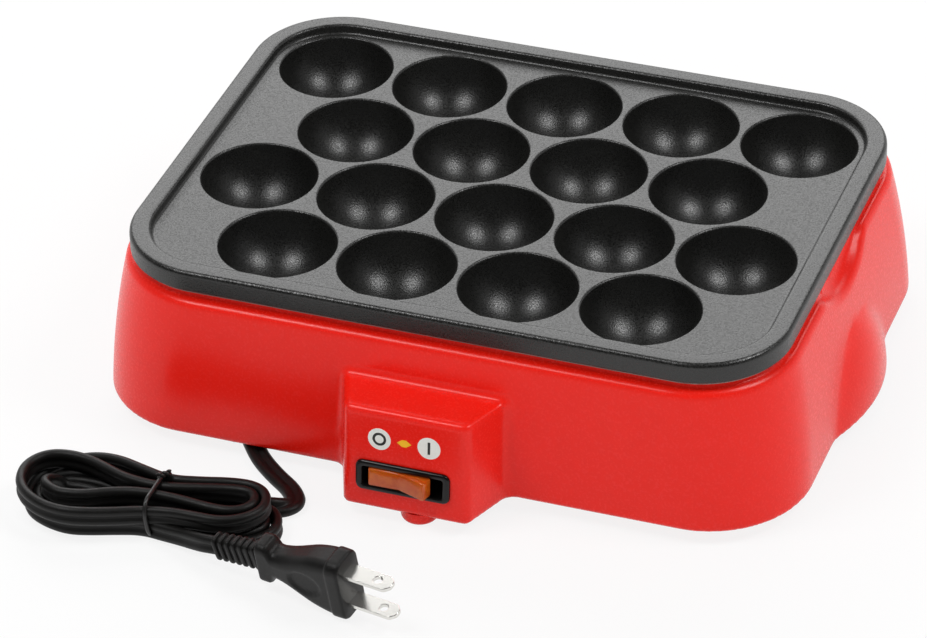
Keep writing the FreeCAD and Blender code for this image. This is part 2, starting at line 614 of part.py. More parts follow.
def repeat(body, features, copies, name):
    """Pattern features along straight lines: copies holds (axis role, count, pitch, reversed)."""
    multi = body.newObject("PartDesign::MultiTransform", name)
    multi.Originals = features
    steps = []
    for order, (role, count, pitch, reverse) in enumerate(copies):
        step = body.newObject("PartDesign::LinearPattern", f"{name}Step{order}")
        step.Direction = (origin_feature(body, role), [""])
        step.Reversed = reverse
        step.Occurrences = count
        bind(step, Length=f"{pitch} * {count - 1}")
        steps.append(step)
    multi.Transformations = steps
    body.Tip = multi
    return multi


# ---------------------------------------------------------------------- Part workbench helpers
def primitive(kind, name, at=("0", "0", "0"), turn=None, **sizes):
    """Part primitive with its sizes and place bound to formulas; turn is (axis, degrees)."""
    shape = DOC.addObject("Part::" + kind, name)
    if turn:
        shape.Placement = Placement(Vector(), Rotation(turn[0], turn[1]))
    bind(shape, **sizes)
    return bind(shape, Placement__Base__x=at[0], Placement__Base__y=at[1], Placement__Base__z=at[2])


def upright_cylinder(name, radius, height, at):
    """Cylinder standing on the point at."""
    return primitive("Cylinder", name, at, Radius=radius, Height=height)


def fuse(name, shapes):
    """Fuse of several shapes."""
    feature = DOC.addObject("Part::MultiFuse", name)
    feature.Shapes = shapes
    feature.Label = name
    return feature


def cut(name, base, tool):
    """Base less tool."""
    feature = DOC.addObject("Part::Cut", name)
    feature.Base = base
    feature.Tool = tool
    feature.Label = name
    return feature


def group(name, shapes):
    """Several separate solids in one sub-part."""
    feature = DOC.addObject("Part::Compound", name)
    feature.Links = shapes
    feature.Label = name
    return feature


def plain(label, shape):
    """Sub-part whose shape is made by Part's own functions from the sheets' values."""
    feature = DOC.addObject("Part::Feature", label)
    feature.Shape = shape
    feature.Label = label
    return feature


def arc_through(before, corner, after, share=0.45):
    """Tangent points and radius of the largest fair arc at a corner between two runs."""
    back, ahead = before - corner, after - corner
    reach = share * min(back.Length, ahead.Length)
    half_turn = (math.pi - back.getAngle(ahead)) / 2
    return corner + back.normalize() * reach, corner + ahead.normalize() * reach, reach / math.tan(half_turn)


def rounded_path(points):
    """Straight runs joined by tangent arcs, as large as the runs allow; returns wire and radii."""
    edges, radii = [], []
    here = points[0]
    for before, corner, after in zip(points, points[1:], points[2:]):
        start, end, radius = arc_through(before, corner, after)
        chord = end - start
        bulge = radius - math.sqrt(radius ** 2 - chord.Length ** 2 / 4)
        middle = (start + end) * 0.5 + (corner - (start + end) * 0.5).normalize() * bulge
        edges.append(Part.LineSegment(here, start).toShape())
        edges.append(Part.Arc(start, middle, end).toShape())
        radii.append(radius)
        here = end
    edges.append(Part.LineSegment(here, points[-1]).toShape())
    return Part.Wire(edges), radii


def round_tube(points, radius):
    """Solid round tube along a rounded path."""
    path, _ = rounded_path(points)
    heading = (points[1] - points[0]).normalize()
    ring = Part.Wire([Part.Circle(points[0], heading, radius).toShape()])
    return path.makePipeShell([ring], True, False)


def mirror(body, features, name):
    """Mirror features across the YZ plane."""
    feature = body.newObject("PartDesign::Mirrored", name)
    feature.Originals = features
    feature.MirrorPlane = (origin_feature(body, "YZ_Plane"), [""])
    body.Tip = feature
    return feature


def lens(sketch, level):
    """Section of a grip: a chord inside the wall and an arc in front of it."""
    chord, front = mm("grip_chord_x"), mm(f"grip_front{level}")
    low, high, radius = mm(f"grip_low{level}"), mm(f"grip_high{level}"), mm(f"grip_round{level}")
    centre = Vector(front - radius, mm("middle_y"), 0)
    turn = math.atan2(high - mm("middle_y"), chord - centre.x)
    sketch.addGeometry(Part.LineSegment(Vector(chord, high, 0), Vector(chord, low, 0)))
    sketch.addGeometry(Part.ArcOfCircle(Part.Circle(centre, Vector(0, 0, 1), radius), -turn, turn))
    sketch.addConstraint(Sketcher.Constraint("Coincident", 0, 2, 1, 1))
    sketch.addConstraint(Sketcher.Constraint("Coincident", 1, 2, 0, 1))
    dimension(sketch, "DistanceX", -1, 1, 0, 1, alias="grip_chord_x")
    dimension(sketch, "DistanceX", -1, 1, 0, 2, alias="grip_chord_x")
    dimension(sketch, "DistanceY", -1, 1, 0, 1, alias=f"grip_high{level}")
    dimension(sketch, "DistanceY", -1, 1, 0, 2, alias=f"grip_low{level}")
    dimension(sketch, "Radius", 1, alias=f"grip_round{level}")
    return sketch


# ------------------------------------------------------------------------------- base shell
def shell_walls(body):
    """Drafted and bowed walls of the shell, closed by the rounded shoulder."""
    sections = []
    for name, height in (("base", "shell_bottom"), ("waist", "shell_mid"), ("brow", "brow_z")):
        sketch = sketch_at(body, "Section" + name.capitalize(), height)
        sections.append(rounded_rectangle(sketch, name + "_x", name + "_y", name + "_corner", "middle_y"))
    loft(body, "AdditiveLoft", sections, "Walls")
    sections = []
    for name, height in (("brow", "brow_z"), ("crown", "crown_z"), ("top", "shell_top")):
        sketch = sketch_at(body, "Shoulder" + name.capitalize(), height)
        sections.append(rounded_rectangle(sketch, name + "_x", name + "_y", name + "_corner", "middle_y"))
    return loft(body, "AdditiveLoft", sections, "Shoulder")


def switch_box(body):
    """Switch box on the front: leaning face, drafted sides, rounded edges, hollow blend to the wall."""
    corners = (("box_front_y", "shell_bottom"), ("box_top_y", "box_top"),
               ("box_back_y", "box_top"), ("box_back_y", "shell_bottom"))
    profile = polygon(sketch_at(body, "BoxProfile", role="YZ_Plane"), corners)
    box = pad(body, profile, "box_width", "SwitchBox", both=True)
    wall_y = mm("middle_y") - mm("base_y")

    def side(face):
        bounds = face.BoundBox
        flat = bounds.XMax - bounds.XMin < 0.01 and abs(abs(bounds.XMin) - mm("box_half")) < 0.01
        return flat and bounds.YMin < wall_y - 10
    DOC.recompute()
    sides = [f"Face{index}" for index, face in enumerate(box.Shape.Faces, start=1) if side(face)]
    draft = body.newObject("PartDesign::Draft", "BoxDraft")
    draft.Base = (box, sides)
    draft.NeutralPlane = (low_plane(body), [""])
    bind(draft, Angle="box_draft")
    draft.Reversed = False

    def outer(edge):
        bounds = edge.BoundBox
        inside = max(abs(bounds.XMin), abs(bounds.XMax)) < mm("box_half") + 0.1
        return inside and bounds.YMin < wall_y - 9 and bounds.ZMax > mm("box_top") - 0.1
    return fillet(body, draft, edges_where(draft, outer), "box_edge", "BoxEdges")


def low_plane(body):
    """Datum plane at the shell's lower edge."""
    plane = body.newObject("PartDesign::Plane", "LowerEdge")
    plane.AttachmentSupport = [(origin_feature(body, "XY_Plane"), "")]
    plane.MapMode = "FlatFace"
    return bind(plane, AttachmentOffset__Base__z="shell_bottom")


def grips(body):
    """Grip that bulges out of each end wall."""
    sections = [lens(sketch_at(body, f"Grip{level}", f"grip_z{level}"), level) for level in range(len(GRIP_LEVELS))]
    grip = loft(body, "AdditiveLoft", sections, "Grip")
    return mirror(body, [grip], "Grips")


def shell_hollow(body):
    """Hollow of the shell and of the switch box, open below."""
    sections = []
    for name, height in (("base_in", "shell_bottom"), ("waist_in", "shell_mid"), ("shoulder_in", "shelf_under")):
        sketch = sketch_at(body, "Hollow" + name.split("_")[0].capitalize(), height)
        sections.append(rounded_rectangle(sketch, name + "_x", name + "_y", name + "_corner", "middle_y"))
    loft(body, "SubtractiveLoft", sections, "Hollow")
    low = sketch_at(body, "BoxHollowLow", "shell_bottom")
    high = sketch_at(body, "BoxHollowHigh", "box_in_top")
    for sketch, half, front in ((low, "box_in_half", "box_in_front_y"), (high, "box_in_top_half", "box_in_top_y")):
        polygon(sketch, (("-" + half, front), (half, front), (half, "box_in_back_y"), ("-" + half, "box_in_back_y")))
    return loft(body, "SubtractiveLoft", (low, high), "BoxHollow", ruled=True)


def shell_scoops(body):
    """Finger scoops at the two ends, each with its own floor and back wall."""
    corners = (("opening_x", "scoop_block_near_y"), ("scoop_block_x", "scoop_block_near_y"),
               ("scoop_block_x", "scoop_block_far_y"), ("opening_x", "scoop_block_far_y"))
    block = pad(body, polygon(sketch_at(body, "ScoopBlockPlan", "scoop_block_z"), corners), "scoop_block_height",
                "ScoopBlock")
    mirror(body, [block], "ScoopBlocks")
    arc = circle(sketch_at(body, "ScoopArc", "scoop_back_x", role="YZ_Plane"), "scoop_radius",
                 "middle_y", "scoop_axis_z")
    scoop = pocket(body, arc, "scoop_back_length", "Scoop", reverse=True)
    return mirror(body, [scoop], "Scoops")


def shell_opening(body):
    """Bead round the opening and the opening itself."""
    bead = rounded_rectangle(sketch_at(body, "BeadPlan", "shelf_under"), "bead_x", "bead_y", "bead_corner", "middle_y")
    pad(body, bead, "bead_top - shelf_under", "Bead")
    opening = rounded_rectangle(sketch_at(body, "OpeningPlan", "bead_top"), "opening_x", "opening_y",
                                "opening_corner", "middle_y")
    return pocket(body, opening, "bead_top - shelf_under + scoop_depth + 4", "Opening")


def shell_bosses(body):
    """Four screw bosses for the bottom cover, grown out of the corners."""
    boss = pad(body, circle(sketch_at(body, "BossPlan", "cover_top"), "post_radius", "-boss_x", "boss_near_y"),
               "boss_height", "Boss")
    spread = (("X_Axis", 2, "2 * boss_x", False), ("Y_Axis", 2, "2 * boss_y", False))
    repeat(body, [boss], spread, "Bosses")
    hole = pocket(body, circle(sketch_at(body, "BossHolePlan", "cover_top"), "screw_hole", "-boss_x", "boss_near_y"),
                  "screw_length", "BossHole", reverse=True)
    return repeat(body, [hole], spread, "BossHoles")


def base_shell():
    """Red shell of the base, with its switch box, grips, finger scoops and the bead round the opening."""
    body = new_body("base_shell")
    shell_walls(body)
    switch_box(body)
    grips(body)
    shell_hollow(body)
    shell_opening(body)
    shell_scoops(body)
    shell_bosses(body)
    window = rounded_rectangle(face_sketch(body, "ApertureOutline", "2"), "aperture_half", "aperture_half_up",
                               "cover_gap")
    pocket(body, window, "box_wall + 4", "Aperture")
    return body


# --------------------------------------------------------------------------- cooking plate
def ball(body, kind, radius, row, name, top=None):
    """Ball of a bowl, inside or outside, at the first place of a row; top caps it at a height."""
    feature = body.newObject("PartDesign::" + kind, name)
    feature.AttachmentSupport = [(origin_feature(body, "XY_Plane"), "")]
    feature.MapMode = "FlatFace"
    if top:
        bind(feature, Angle2=f"asin(({top} - bowl_centre_z) / {radius})")
    return bind(feature, Radius=radius, AttachmentOffset__Base__x=row + "_row_x",
                AttachmentOffset__Base__y=row + "_row_y", AttachmentOffset__Base__z="bowl_centre_z")


def bowl_rows(body, kind, radius, name, top=None):
    """Balls for all bowls: two rows of five and, between them, two rows of four."""
    long_ball = ball(body, kind, radius, "long", name + "Long", top)
    repeat(body, [long_ball], (("X_Axis", 5, "bowl_pitch", False), ("Y_Axis", 2, "2 * row_pitch", True)),
           name + "LongRows")
    short_ball = ball(body, kind, radius, "short", name + "Short", top)
    return repeat(body, [short_ball], (("X_Axis", 4, "bowl_pitch", False), ("Y_Axis", 2, "2 * row_pitch", True)),
                  name + "ShortRows")


def takoyaki_plate():
    """Lift-off cooking plate: flat field with 18 bowls inside a raised rim, skirt below."""
    body = new_body("takoyaki_plate")
    plan = rounded_rectangle(sketch_at(body, "PlatePlan", "plate_bottom"), "plate_x", "plate_y", "plate_corner",
                             "middle_y")
    slab = pad(body, plan, "rim_top - plate_bottom", "Slab")
    edge = fillet(body, slab, edges_where(slab, flat_at(mm("rim_top"))), "rim_rounding", "RimOutside")
    pan = rounded_rectangle(sketch_at(body, "PanPlan", "rim_top"), "pan_x", "pan_y", "pan_corner", "middle_y")
    pocket(body, pan, "rim_rise", "Pan")
    under = rounded_rectangle(sketch_at(body, "UnderPlan", "plate_bottom"), "under_x", "under_y", "under_corner",
                              "middle_y")
    pocket(body, under, "field_under - plate_bottom", "Underside", reverse=True)
    bowl_rows(body, "AdditiveSphere", "dome_radius", "Dome", top="field_z - field_thickness / 2")
    bowl_rows(body, "SubtractiveSphere", "bowl_radius", "Bowl")
    return body


# -------------------------------------------------------------------------- reflector tray
def tray_holes(body, plan_points, radius, name):
    """Round holes down through the tray's floor; plan_points holds pairs of place aliases."""
    sketch = sketch_at(body, name + "Plan", "tray_floor + 1")
    for x, y in plan_points:
        circle(sketch, radius, x, y)
    return pocket(body, sketch, "tray_sheet + 2", name)


def reflector_tray():
    """Sheet-metal tray that carries the heating element and, on its flange, the plate."""
    body = new_body("reflector_tray")
    tub = rounded_rectangle(sketch_at(body, "TubPlan", "tray_under"), "tray_x", "tray_y", "tray_corner", "middle_y")
    pad(body, tub, "plate_bottom - tray_under", "Tub")
    flange = rounded_rectangle(sketch_at(body, "FlangePlan", "bead_top"), "flange_x", "flange_y", "flange_corner",
                               "middle_y")
    pad(body, flange, "tray_sheet", "Flange")
    inside = rounded_rectangle(sketch_at(body, "InsidePlan", "plate_bottom"), "pan_x", "pan_y", "pan_corner",
                               "middle_y")
    hollow = pocket(body, inside, "plate_bottom - tray_floor", "Inside")
    bend = fillet(body, hollow, edges_where(hollow, flat_at(mm("tray_floor"))), "tray_floor_radius", "InsideBend")
    fillet(body, bend, edges_where(bend, flat_at(mm("tray_under"))), "tray_floor_radius + tray_sheet", "TubBend")
    ends = sketch_at(body, "SealHoles", "tray_x + 1", role="YZ_Plane")
    circle(ends, "seal_hole", "heater_low_y", "heater_z")
    circle(ends, "seal_hole", "heater_high_y", "heater_z")
    pocket(body, ends, "tray_sheet + 2", "SealHolePair")
    posts = tuple((x, y) for x in ("post_spread_x", "-post_spread_x") for y in ("post_near_y", "post_far_y"))
    tray_holes(body, posts, "screw_hole", "PostHoles")
    tray_holes(body, RIVET_PLACES, "rivet_hole", "RivetHoles")
    return body


# ---------------------------------------------------------------------------- bottom cover
def cover_feet(body):
    """Feet under the cover: one at each corner and one under the switch box."""
    spread = (("X_Axis", 2, "2 * foot_spread_x", False), ("Y_Axis", 2, "2 * foot_spread_y", False))
    neck = pad(body, circle(sketch_at(body, "NeckPlan", "foot_disc"), "foot_neck_radius", "-foot_spread_x",
                            "foot_near_y"), "foot_neck", "Neck")
    repeat(body, [neck], spread, "Necks")
    front = circle(sketch_at(body, "FrontNeckPlan", "foot_disc"), "foot_neck_radius", "front_foot_x", "front_foot_y")
    pad(body, front, "foot_neck", "FrontNeck")
    disc = pad(body, circle(sketch_at(body, "FootPlan"), "foot_radius", "-foot_spread_x", "foot_near_y"),
               "foot_disc", "Foot")
    repeat(body, [disc], spread, "Feet")
    front = circle(sketch_at(body, "FrontFootPlan"), "foot_radius", "front_foot_x", "front_foot_y")
    last = pad(body, front, "foot_disc", "FrontFoot")
    return fillet(body, last, edges_where(last, flat_at(0.0)), "foot_rounding", "FeetEdges")


def cover_posts(body):
    """Four posts that carry the tray, each with its screw hole."""
    spread = (("X_Axis", 2, "2 * post_spread_x", False), ("Y_Axis", 2, "2 * post_spread_y", False))
    post = pad(body, circle(sketch_at(body, "PostPlan", "cover_top - cover_thickness / 2"), "post_radius",
                            "-post_spread_x", "post_near_y"), "tray_under - cover_top + cover_thickness / 2", "Post")
    repeat(body, [post], spread, "Posts")
    hole = pocket(body, circle(sketch_at(body, "PostHolePlan", "tray_under"), "screw_hole", "-post_spread_x",
                               "post_near_y"), "screw_length", "PostHole")
    return repeat(body, [hole], spread, "PostHoles")


def cover_vents(body):
    """Vent slots in two groups of five."""
    slot = sketch_at(body, "VentPlan", "cover_top + 1")
    rounded_rectangle(slot, "vent_half", "vent_half_width", "vent_corner", "vent_near_y")
    bind(slot, AttachmentOffset__Base__x="-vent_pitch * 5")
    vent = pocket(body, slot, "cover_thickness + 2", "Vent")
    return repeat(body, [vent], (("X_Axis", 2, "vent_pitch * 10", False), ("Y_Axis", 5, "vent_pitch", False)),
                  "Vents")


def bottom_cover():
    """Cover that closes the base from below, with its feet, the tray's posts and vent slots."""
    body = new_body("bottom_cover")
    pad(body, rounded_rectangle(sketch_at(body, "CoverPlan", "cover_under"), "cover_x", "cover_y", "cover_corner",
                                "middle_y"), "cover_thickness", "Panel")
    tongue = (("-tongue_half", "tongue_front_y"), ("tongue_half", "tongue_front_y"),
              ("tongue_half", "tongue_back_y"), ("-tongue_half", "tongue_back_y"))
    pad(body, polygon(sketch_at(body, "TonguePlan", "cover_under"), tongue), "cover_thickness", "Tongue")
    cover_feet(body)
    cover_posts(body)
    spread = (("X_Axis", 2, "2 * boss_x", False), ("Y_Axis", 2, "2 * boss_y", False))
    hole = pocket(body, circle(sketch_at(body, "CoverScrewPlan", "cover_top + 1"), "screw_hole", "-boss_x",
                               "boss_near_y"), "cover_thickness + 2", "ScrewHole")
    repeat(body, [hole], spread, "ScrewHoles")
    bush = rounded_rectangle(bush_sketch(body, "BushHolePlan", "cover_top + 1"), "bush_hole_half", "bush_hole_depth",
                             "bush_corner")
    pocket(body, bush, "cover_thickness + 2", "BushHole")
    cover_vents(body)
    return body


# ---------------------------------------------------------------- fasteners and heater clips
def screw(name, x, y, seat, head_below):
    """One pan-head screw with its shank through seat; head_below turns it over."""
    shank_z = seat if head_below else f"{seat} - screw_length"
    head_z = f"{seat} - screw_head_height" if head_below else seat
    shank = upright_cylinder(name + "Shank", "screw_radius", "screw_length", (x, y, shank_z))
    head = upright_cylinder(name + "Head", "screw_head_radius", "screw_head_height", (x, y, head_z))
    slot_z = f"{head_z} - 0.1" if head_below else f"{head_z} + screw_head_height - 0.9"
    slot = primitive("Box", name + "Slot", (f"{x} - screw_radius", f"{y} - 0.4", slot_z),
                     Length="2 * screw_radius", Width="0.8", Height="1.0")
    cross = primitive("Box", name + "Cross", (f"{x} - 0.4", f"{y} - screw_radius", slot_z),
                      Length="0.8", Width="2 * screw_radius", Height="1.0")
    return cut(name, fuse(name + "Blank", [shank, head]), fuse(name + "Recess", [slot, cross]))


def screws(label, spread_x, spread_y, seat, head_below):
    """Four equal screws at the corners of a rectangle round the appliance's middle."""
    solids = []
    for column, x in enumerate((spread_x, "-" + spread_x)):
        for row, y in enumerate((f"middle_y - {spread_y}", f"middle_y + {spread_y}")):
            solids.append(screw(f"{label}{column}{row}", x, y, seat, head_below))
    return group(label, solids)


def rivet(name, x, y, top, bottom):
    """Rivet with a head on the surface top and its closed end under the surface bottom."""
    head = upright_cylinder(name + "Head", "rivet_head", "rivet_sheet", (x, y, top))
    shank = upright_cylinder(name + "Shank", "rivet_radius", f"{top} - ({bottom}) + 2 * rivet_sheet",
                             (x, y, f"{bottom} - rivet_sheet"))
    tail = upright_cylinder(name + "Tail", "rivet_head", "rivet_sheet", (x, y, f"{bottom} - rivet_sheet"))
    return fuse(name, [head, shank, tail])


def tray_rivets():
    """Rivets of the heater clips, the thermostat and the fuse strap."""
    solids = []
    for index, (x, y) in enumerate(RIVET_PLACES):
        over = index < 8
        top = "tray_floor + clip_sheet" if over else "tray_floor"
        bottom = "tray_under" if over else "tray_under - clip_sheet"
        solids.append(rivet(f"Rivet{index}", x, y, top, bottom))
    return group("tray_rivets", solids)


def heater_clip(name, x, y):
    """Strap over the heating element with a foot on either side of it."""
    left = f"{x} - clip_width / 2"
    along = (Vector(0, 1, 0), 90)
    arch = primitive("Cylinder", name + "Arch", (left, y, "heater_z"), turn=along,
                     Radius="clip_in + clip_sheet", Height="clip_width")
    legs = primitive("Box", name + "Legs", (left, f"{y} - clip_in - clip_sheet", "tray_floor"), Length="clip_width",
                     Width="2 * (clip_in + clip_sheet)", Height="heater_z - tray_floor")
    feet = primitive("Box", name + "Feet", (left, f"{y} - clip_foot", "tray_floor"), Length="clip_width",
                     Width="2 * clip_foot", Height="clip_sheet")
    tunnel = primitive("Cylinder", name + "Tunnel", (left, y, "heater_z"), turn=along, Radius="clip_in",
                       Height="clip_width")
    gate = primitive("Box", name + "Gate", (left, f"{y} - clip_in", "tray_floor - 1"), Length="clip_width",
                     Width="2 * clip_in", Height="heater_z - tray_floor + 1")
    holes = [upright_cylinder(f"{name}Hole{side}", "rivet_hole", "3 * clip_sheet",
                              (x, f"{y} {sign} clip_rivet_at", "tray_floor - clip_sheet"))
             for side, sign in enumerate("-+")]
    return cut(name, fuse(name + "Strap", [arch, legs, feet]), fuse(name + "Inside", [tunnel, gate] + holes))


def heater_clips():
    """Four straps that hold the heating element's legs over the tray's floor."""
    solids = []
    for column, x in enumerate(("clip_spacing", "-clip_spacing")):
        for row, y in enumerate(("heater_low_y", "heater_high_y")):
            solids.append(heater_clip(f"Clip{column}{row}", x, y))
    return group("heater_clips", solids)


# --------------------------------------------------------------- heating element and controls
def fixed_path(points, radius):
    """Straight runs joined by tangent arcs of one radius."""
    edges = []
    here = points[0]
    for before, corner, after in zip(points, points[1:], points[2:]):
        back, ahead = (before - corner).normalize(), (after - corner).normalize()
        half_turn = (math.pi - back.getAngle(ahead)) / 2
        start, end = corner + back * radius * math.tan(half_turn), corner + ahead * radius * math.tan(half_turn)
        middle = corner + (back + ahead).normalize() * (radius / math.cos(half_turn) - radius)
        edges += [Part.LineSegment(here, start).toShape(), Part.Arc(start, middle, end).toShape()]
        here = end
    return Part.Wire(edges + [Part.LineSegment(here, points[-1]).toShape()])


def sheathed_heater():
    """U-shaped sheathed element that runs between the rows of bowls."""
    low, high, level = mm("heater_low_y"), mm("heater_high_y"), mm("heater_z")
    near, far = mm("heater_near_x"), mm("heater_far_x")
    points = [Vector(near, high, level), Vector(far, high, level), Vector(far, low, level), Vector(near, low, level)]
    path = fixed_path(points, mm("heater_bend"))
    ring = Part.Wire([Part.Circle(points[0], Vector(1, 0, 0), mm("heater_radius")).toShape()])
    return plain("sheathed_heater", path.makePipeShell([ring], True, False))


def heater_seals():
    """Ceramic end seals of the element, through the tray's end wall."""
    solids = [primitive("Cylinder", f"Seal{side}", ("heater_near_x", y, "heater_z"), turn=(Vector(0, 1, 0), 90),
                        Radius="seal_radius", Height="seal_length")
              for side, y in enumerate(("heater_low_y", "heater_high_y"))]
    return group("heater_seals", solids)


def heater_pins():
    """Terminal pins of the element, each with the barrel of its lead crimped on."""
    solids = []
    for side, y in enumerate(("heater_low_y", "heater_high_y")):
        pin = primitive("Cylinder", f"Pin{side}", ("heater_near_x + seal_length", y, "heater_z"),
                        turn=(Vector(0, 1, 0), 90), Radius="pin_radius", Height="pin_length")
        barrel = upright_cylinder(f"Barrel{side}", "lead_radius + 0.5", "7", ("pin_x", y, "heater_z - 5"))
        solids.append(fuse(f"HeaterPin{side}", [pin, barrel]))
    return group("heater_pins", solids)


def thermostat():
    """Disc thermostat under the tray: flange, cap, ceramic body and two blades."""
    flange = primitive("Box", "ThermostatFlange", ("-thermostat_ear - 3.5", "middle_y - 4", "thermostat_flange_z"),
                       Length="2 * thermostat_ear + 7", Width="8", Height="clip_sheet")
    cap = upright_cylinder("ThermostatCap", "thermostat_radius", "thermostat_cap",
                           ("0", "middle_y", "tray_under - thermostat_cap"))
    core = upright_cylinder("ThermostatBody", "thermostat_radius - 1", "thermostat_body",
                            ("0", "middle_y", "thermostat_low_z"))
    blades = [primitive("Box", f"ThermostatBlade{side}", (f"{sign}4 - tab_thickness / 2", "middle_y - tab_width / 2",
                                                         "thermostat_low_z - tab_length"),
                        Length="tab_thickness", Width="tab_width", Height="tab_length + 1")
              for side, sign in enumerate("-+")]
    holes = [upright_cylinder(f"ThermostatHole{side}", "rivet_hole", "4", (f"{sign}thermostat_ear", "middle_y",
                                                                          "thermostat_flange_z - 1"))
             for side, sign in enumerate("-+")]
    return cut("thermostat", fuse("ThermostatBlank", [flange, cap, core] + blades), fuse("ThermostatEars", holes))


def thermal_fuse():
    """One-shot thermal fuse against the tray's underside."""
    feature = primitive("Cylinder", "thermal_fuse", ("fuse_x - fuse_length / 2", "fuse_y", "tray_under - fuse_radius"),
                        turn=(Vector(0, 1, 0), 90), Radius="fuse_radius", Height="fuse_length")
    feature.Label = "thermal_fuse"
    return feature


def fuse_strap():
    """Strap that holds the thermal fuse against the tray."""
    left = "fuse_x - clip_width / 4"
    along = (Vector(0, 1, 0), 90)
    sizes = {"Length": "clip_width / 2"}
    arch = primitive("Cylinder", "StrapArch", (left, "fuse_y", "tray_under - fuse_radius"), turn=along,
                     Radius="fuse_radius + screw_fit + clip_sheet", Height="clip_width / 2")
    legs = primitive("Box", "StrapLegs", (left, "fuse_y - fuse_radius - screw_fit - clip_sheet",
                                          "tray_under - fuse_radius"),
                     Width="2 * (fuse_radius + screw_fit + clip_sheet)", Height="fuse_radius", **sizes)
    feet = primitive("Box", "StrapFeet", (left, "fuse_y - fuse_strap_foot", "tray_under - clip_sheet"),
                     Width="2 * fuse_strap_foot", Height="clip_sheet", **sizes)
    tunnel = primitive("Cylinder", "StrapTunnel", (left, "fuse_y", "tray_under - fuse_radius"), turn=along,
                       Radius="fuse_radius + screw_fit", Height="clip_width / 2")
    gate = primitive("Box", "StrapGate", (left, "fuse_y - fuse_radius - screw_fit", "tray_under - fuse_radius"),
                     Width="2 * (fuse_radius + screw_fit)", Height="fuse_radius + 1", **sizes)
    holes = [upright_cylinder(f"StrapHole{side}", "rivet_hole", "3 * clip_sheet",
                              ("fuse_x", f"fuse_y {sign} fuse_rivet_at", "tray_under - 2 * clip_sheet"))
             for side, sign in enumerate("-+")]
    return cut("fuse_strap", fuse("StrapBlank", [arch, legs, feet]), fuse("StrapInside", [tunnel, gate] + holes))


# ------------------------------------------------------------------------------ rocker switch
def face_frame():
    """Placement of the switch: x to the right, y up the leaning face, z out of it."""
    turn = Rotation(Vector(1, 0, 0), 90 - mm("box_lean"))
    return Placement(Vector(0, mm("switch_y"), mm("switch_z")), turn)


def profile_sketch(body, name):
    """Sketch across the switch: x to the right, y out of the face, its normal down the face."""
    sketch = sketch_at(body, name)
    sketch.AttachmentOffset = Placement(Vector(), Rotation(Vector(1, 0, 0), 180 - mm("box_lean")))
    return bind(sketch, AttachmentOffset__Rotation__Angle="180 - box_lean", AttachmentOffset__Base__y="switch_y",
                AttachmentOffset__Base__z="switch_z")


def switch_housing():
    """Housing of the rocker switch: bezel on the face, body behind it, recess and pivot holes."""
    body = new_body("switch_housing")
    bezel = rounded_rectangle(face_sketch(body, "BezelOutline"), "bezel_half", "bezel_half_up", "bezel_corner")
    pad(body, bezel, "bezel_stand", "Bezel")
    core = rounded_rectangle(face_sketch(body, "CoreOutline"), "switch_body_half", "switch_body_half_up",
                             "recess_corner")
    pad(body, core, "switch_body_depth", "Core", reverse=True)
    recess = rounded_rectangle(face_sketch(body, "RecessOutline", "bezel_stand + 1"), "window_half",
                               "window_half_up", "recess_corner")
    pocket(body, recess, "bezel_stand + 1 + recess_depth", "Recess")
    pivot = circle(profile_sketch(body, "PivotOutline"), "pivot_hole", "0", "rocker_pivot")
    pocket(body, pivot, "2 * bezel_half_up", "PivotHoles", both=True)
    return body


def switch_rocker():
    """Illuminated rocker: two faces that meet in a shallow V, hub and pivot pins. It rests at off."""
    body = new_body("switch_rocker")
    corners = (("-rocker_half", "rocker_heel"), ("0", "rocker_foot"), ("rocker_half", "rocker_heel"),
               ("rocker_half", "rocker_tip"), ("0", "rocker_crest"), ("-rocker_half", "rocker_tip"))
    profile = polygon(profile_sketch(body, "RockerProfile"), corners)
    pad(body, profile, "2 * rocker_half_up", "Rocker", both=True)
    hub = circle(profile_sketch(body, "HubOutline"), "rocker_hub", "0", "rocker_pivot")
    pad(body, hub, "2 * rocker_half_up", "Hub", both=True)
    pins = circle(profile_sketch(body, "PinOutline"), "rocker_pivot_radius", "0", "rocker_pivot")
    pad(body, pins, "2 * switch_body_half_up", "Pins", both=True)
    frame = face_frame()
    pivot = frame.multVec(Vector(0, 0, mm("rocker_pivot")))
    axis = frame.Rotation.multVec(Vector(0, 1, 0))
    body.Placement = Placement(Vector(), Rotation(axis, -mm("rocker_throw") / 2), pivot)
    return body


def blade_with_hole(width, thickness, length, hole, hole_at):
    """Flat blade along +X with a round hole, its root at the origin."""
    blade = Part.makeBox(length, width, thickness, Vector(0, -width / 2, -thickness / 2))
    drill = Part.makeCylinder(hole, 3 * thickness, Vector(hole_at, 0, -1.5 * thickness))
    return blade.cut(drill)


def backwards(x):
    """Placement at a switch blade's root: local x runs out of the back of the switch."""
    turn = Rotation(Vector(0, 1, 0), 90)
    return face_frame().multiply(Placement(Vector(x, 0, -mm("switch_body_depth")), turn))


def downwards(x, y, z):
    """Placement at a blade's root that points down, its width along Y."""
    return Placement(Vector(x, y, z), Rotation(Vector(0, 1, 0), 90))


def blade_seats():
    """Roots of the five push-on blades: three behind the switch, two under the thermostat."""
    spread = mm("blade_spread")
    seats = [backwards(x) for x in (-spread, 0.0, spread)]
    low = mm("thermostat_low_z")
    return seats + [downwards(x, mm("middle_y"), low) for x in (-4.0, 4.0)]


def switch_blades():
    """Three blades behind the switch."""
    blade = blade_with_hole(mm("tab_width"), mm("tab_thickness"), mm("tab_length"), 0.8, mm("tab_length") - 2)
    solids = []
    for seat in blade_seats()[:3]:
        copy = blade.copy()
        copy.Placement = seat
        solids.append(copy)
    return plain("switch_blades", Part.makeCompound(solids))


def sleeve_start():
    """Distance from a blade's root to the near end of its sleeve."""
    return mm("tab_length") - mm("sleeve_length") + 1.5


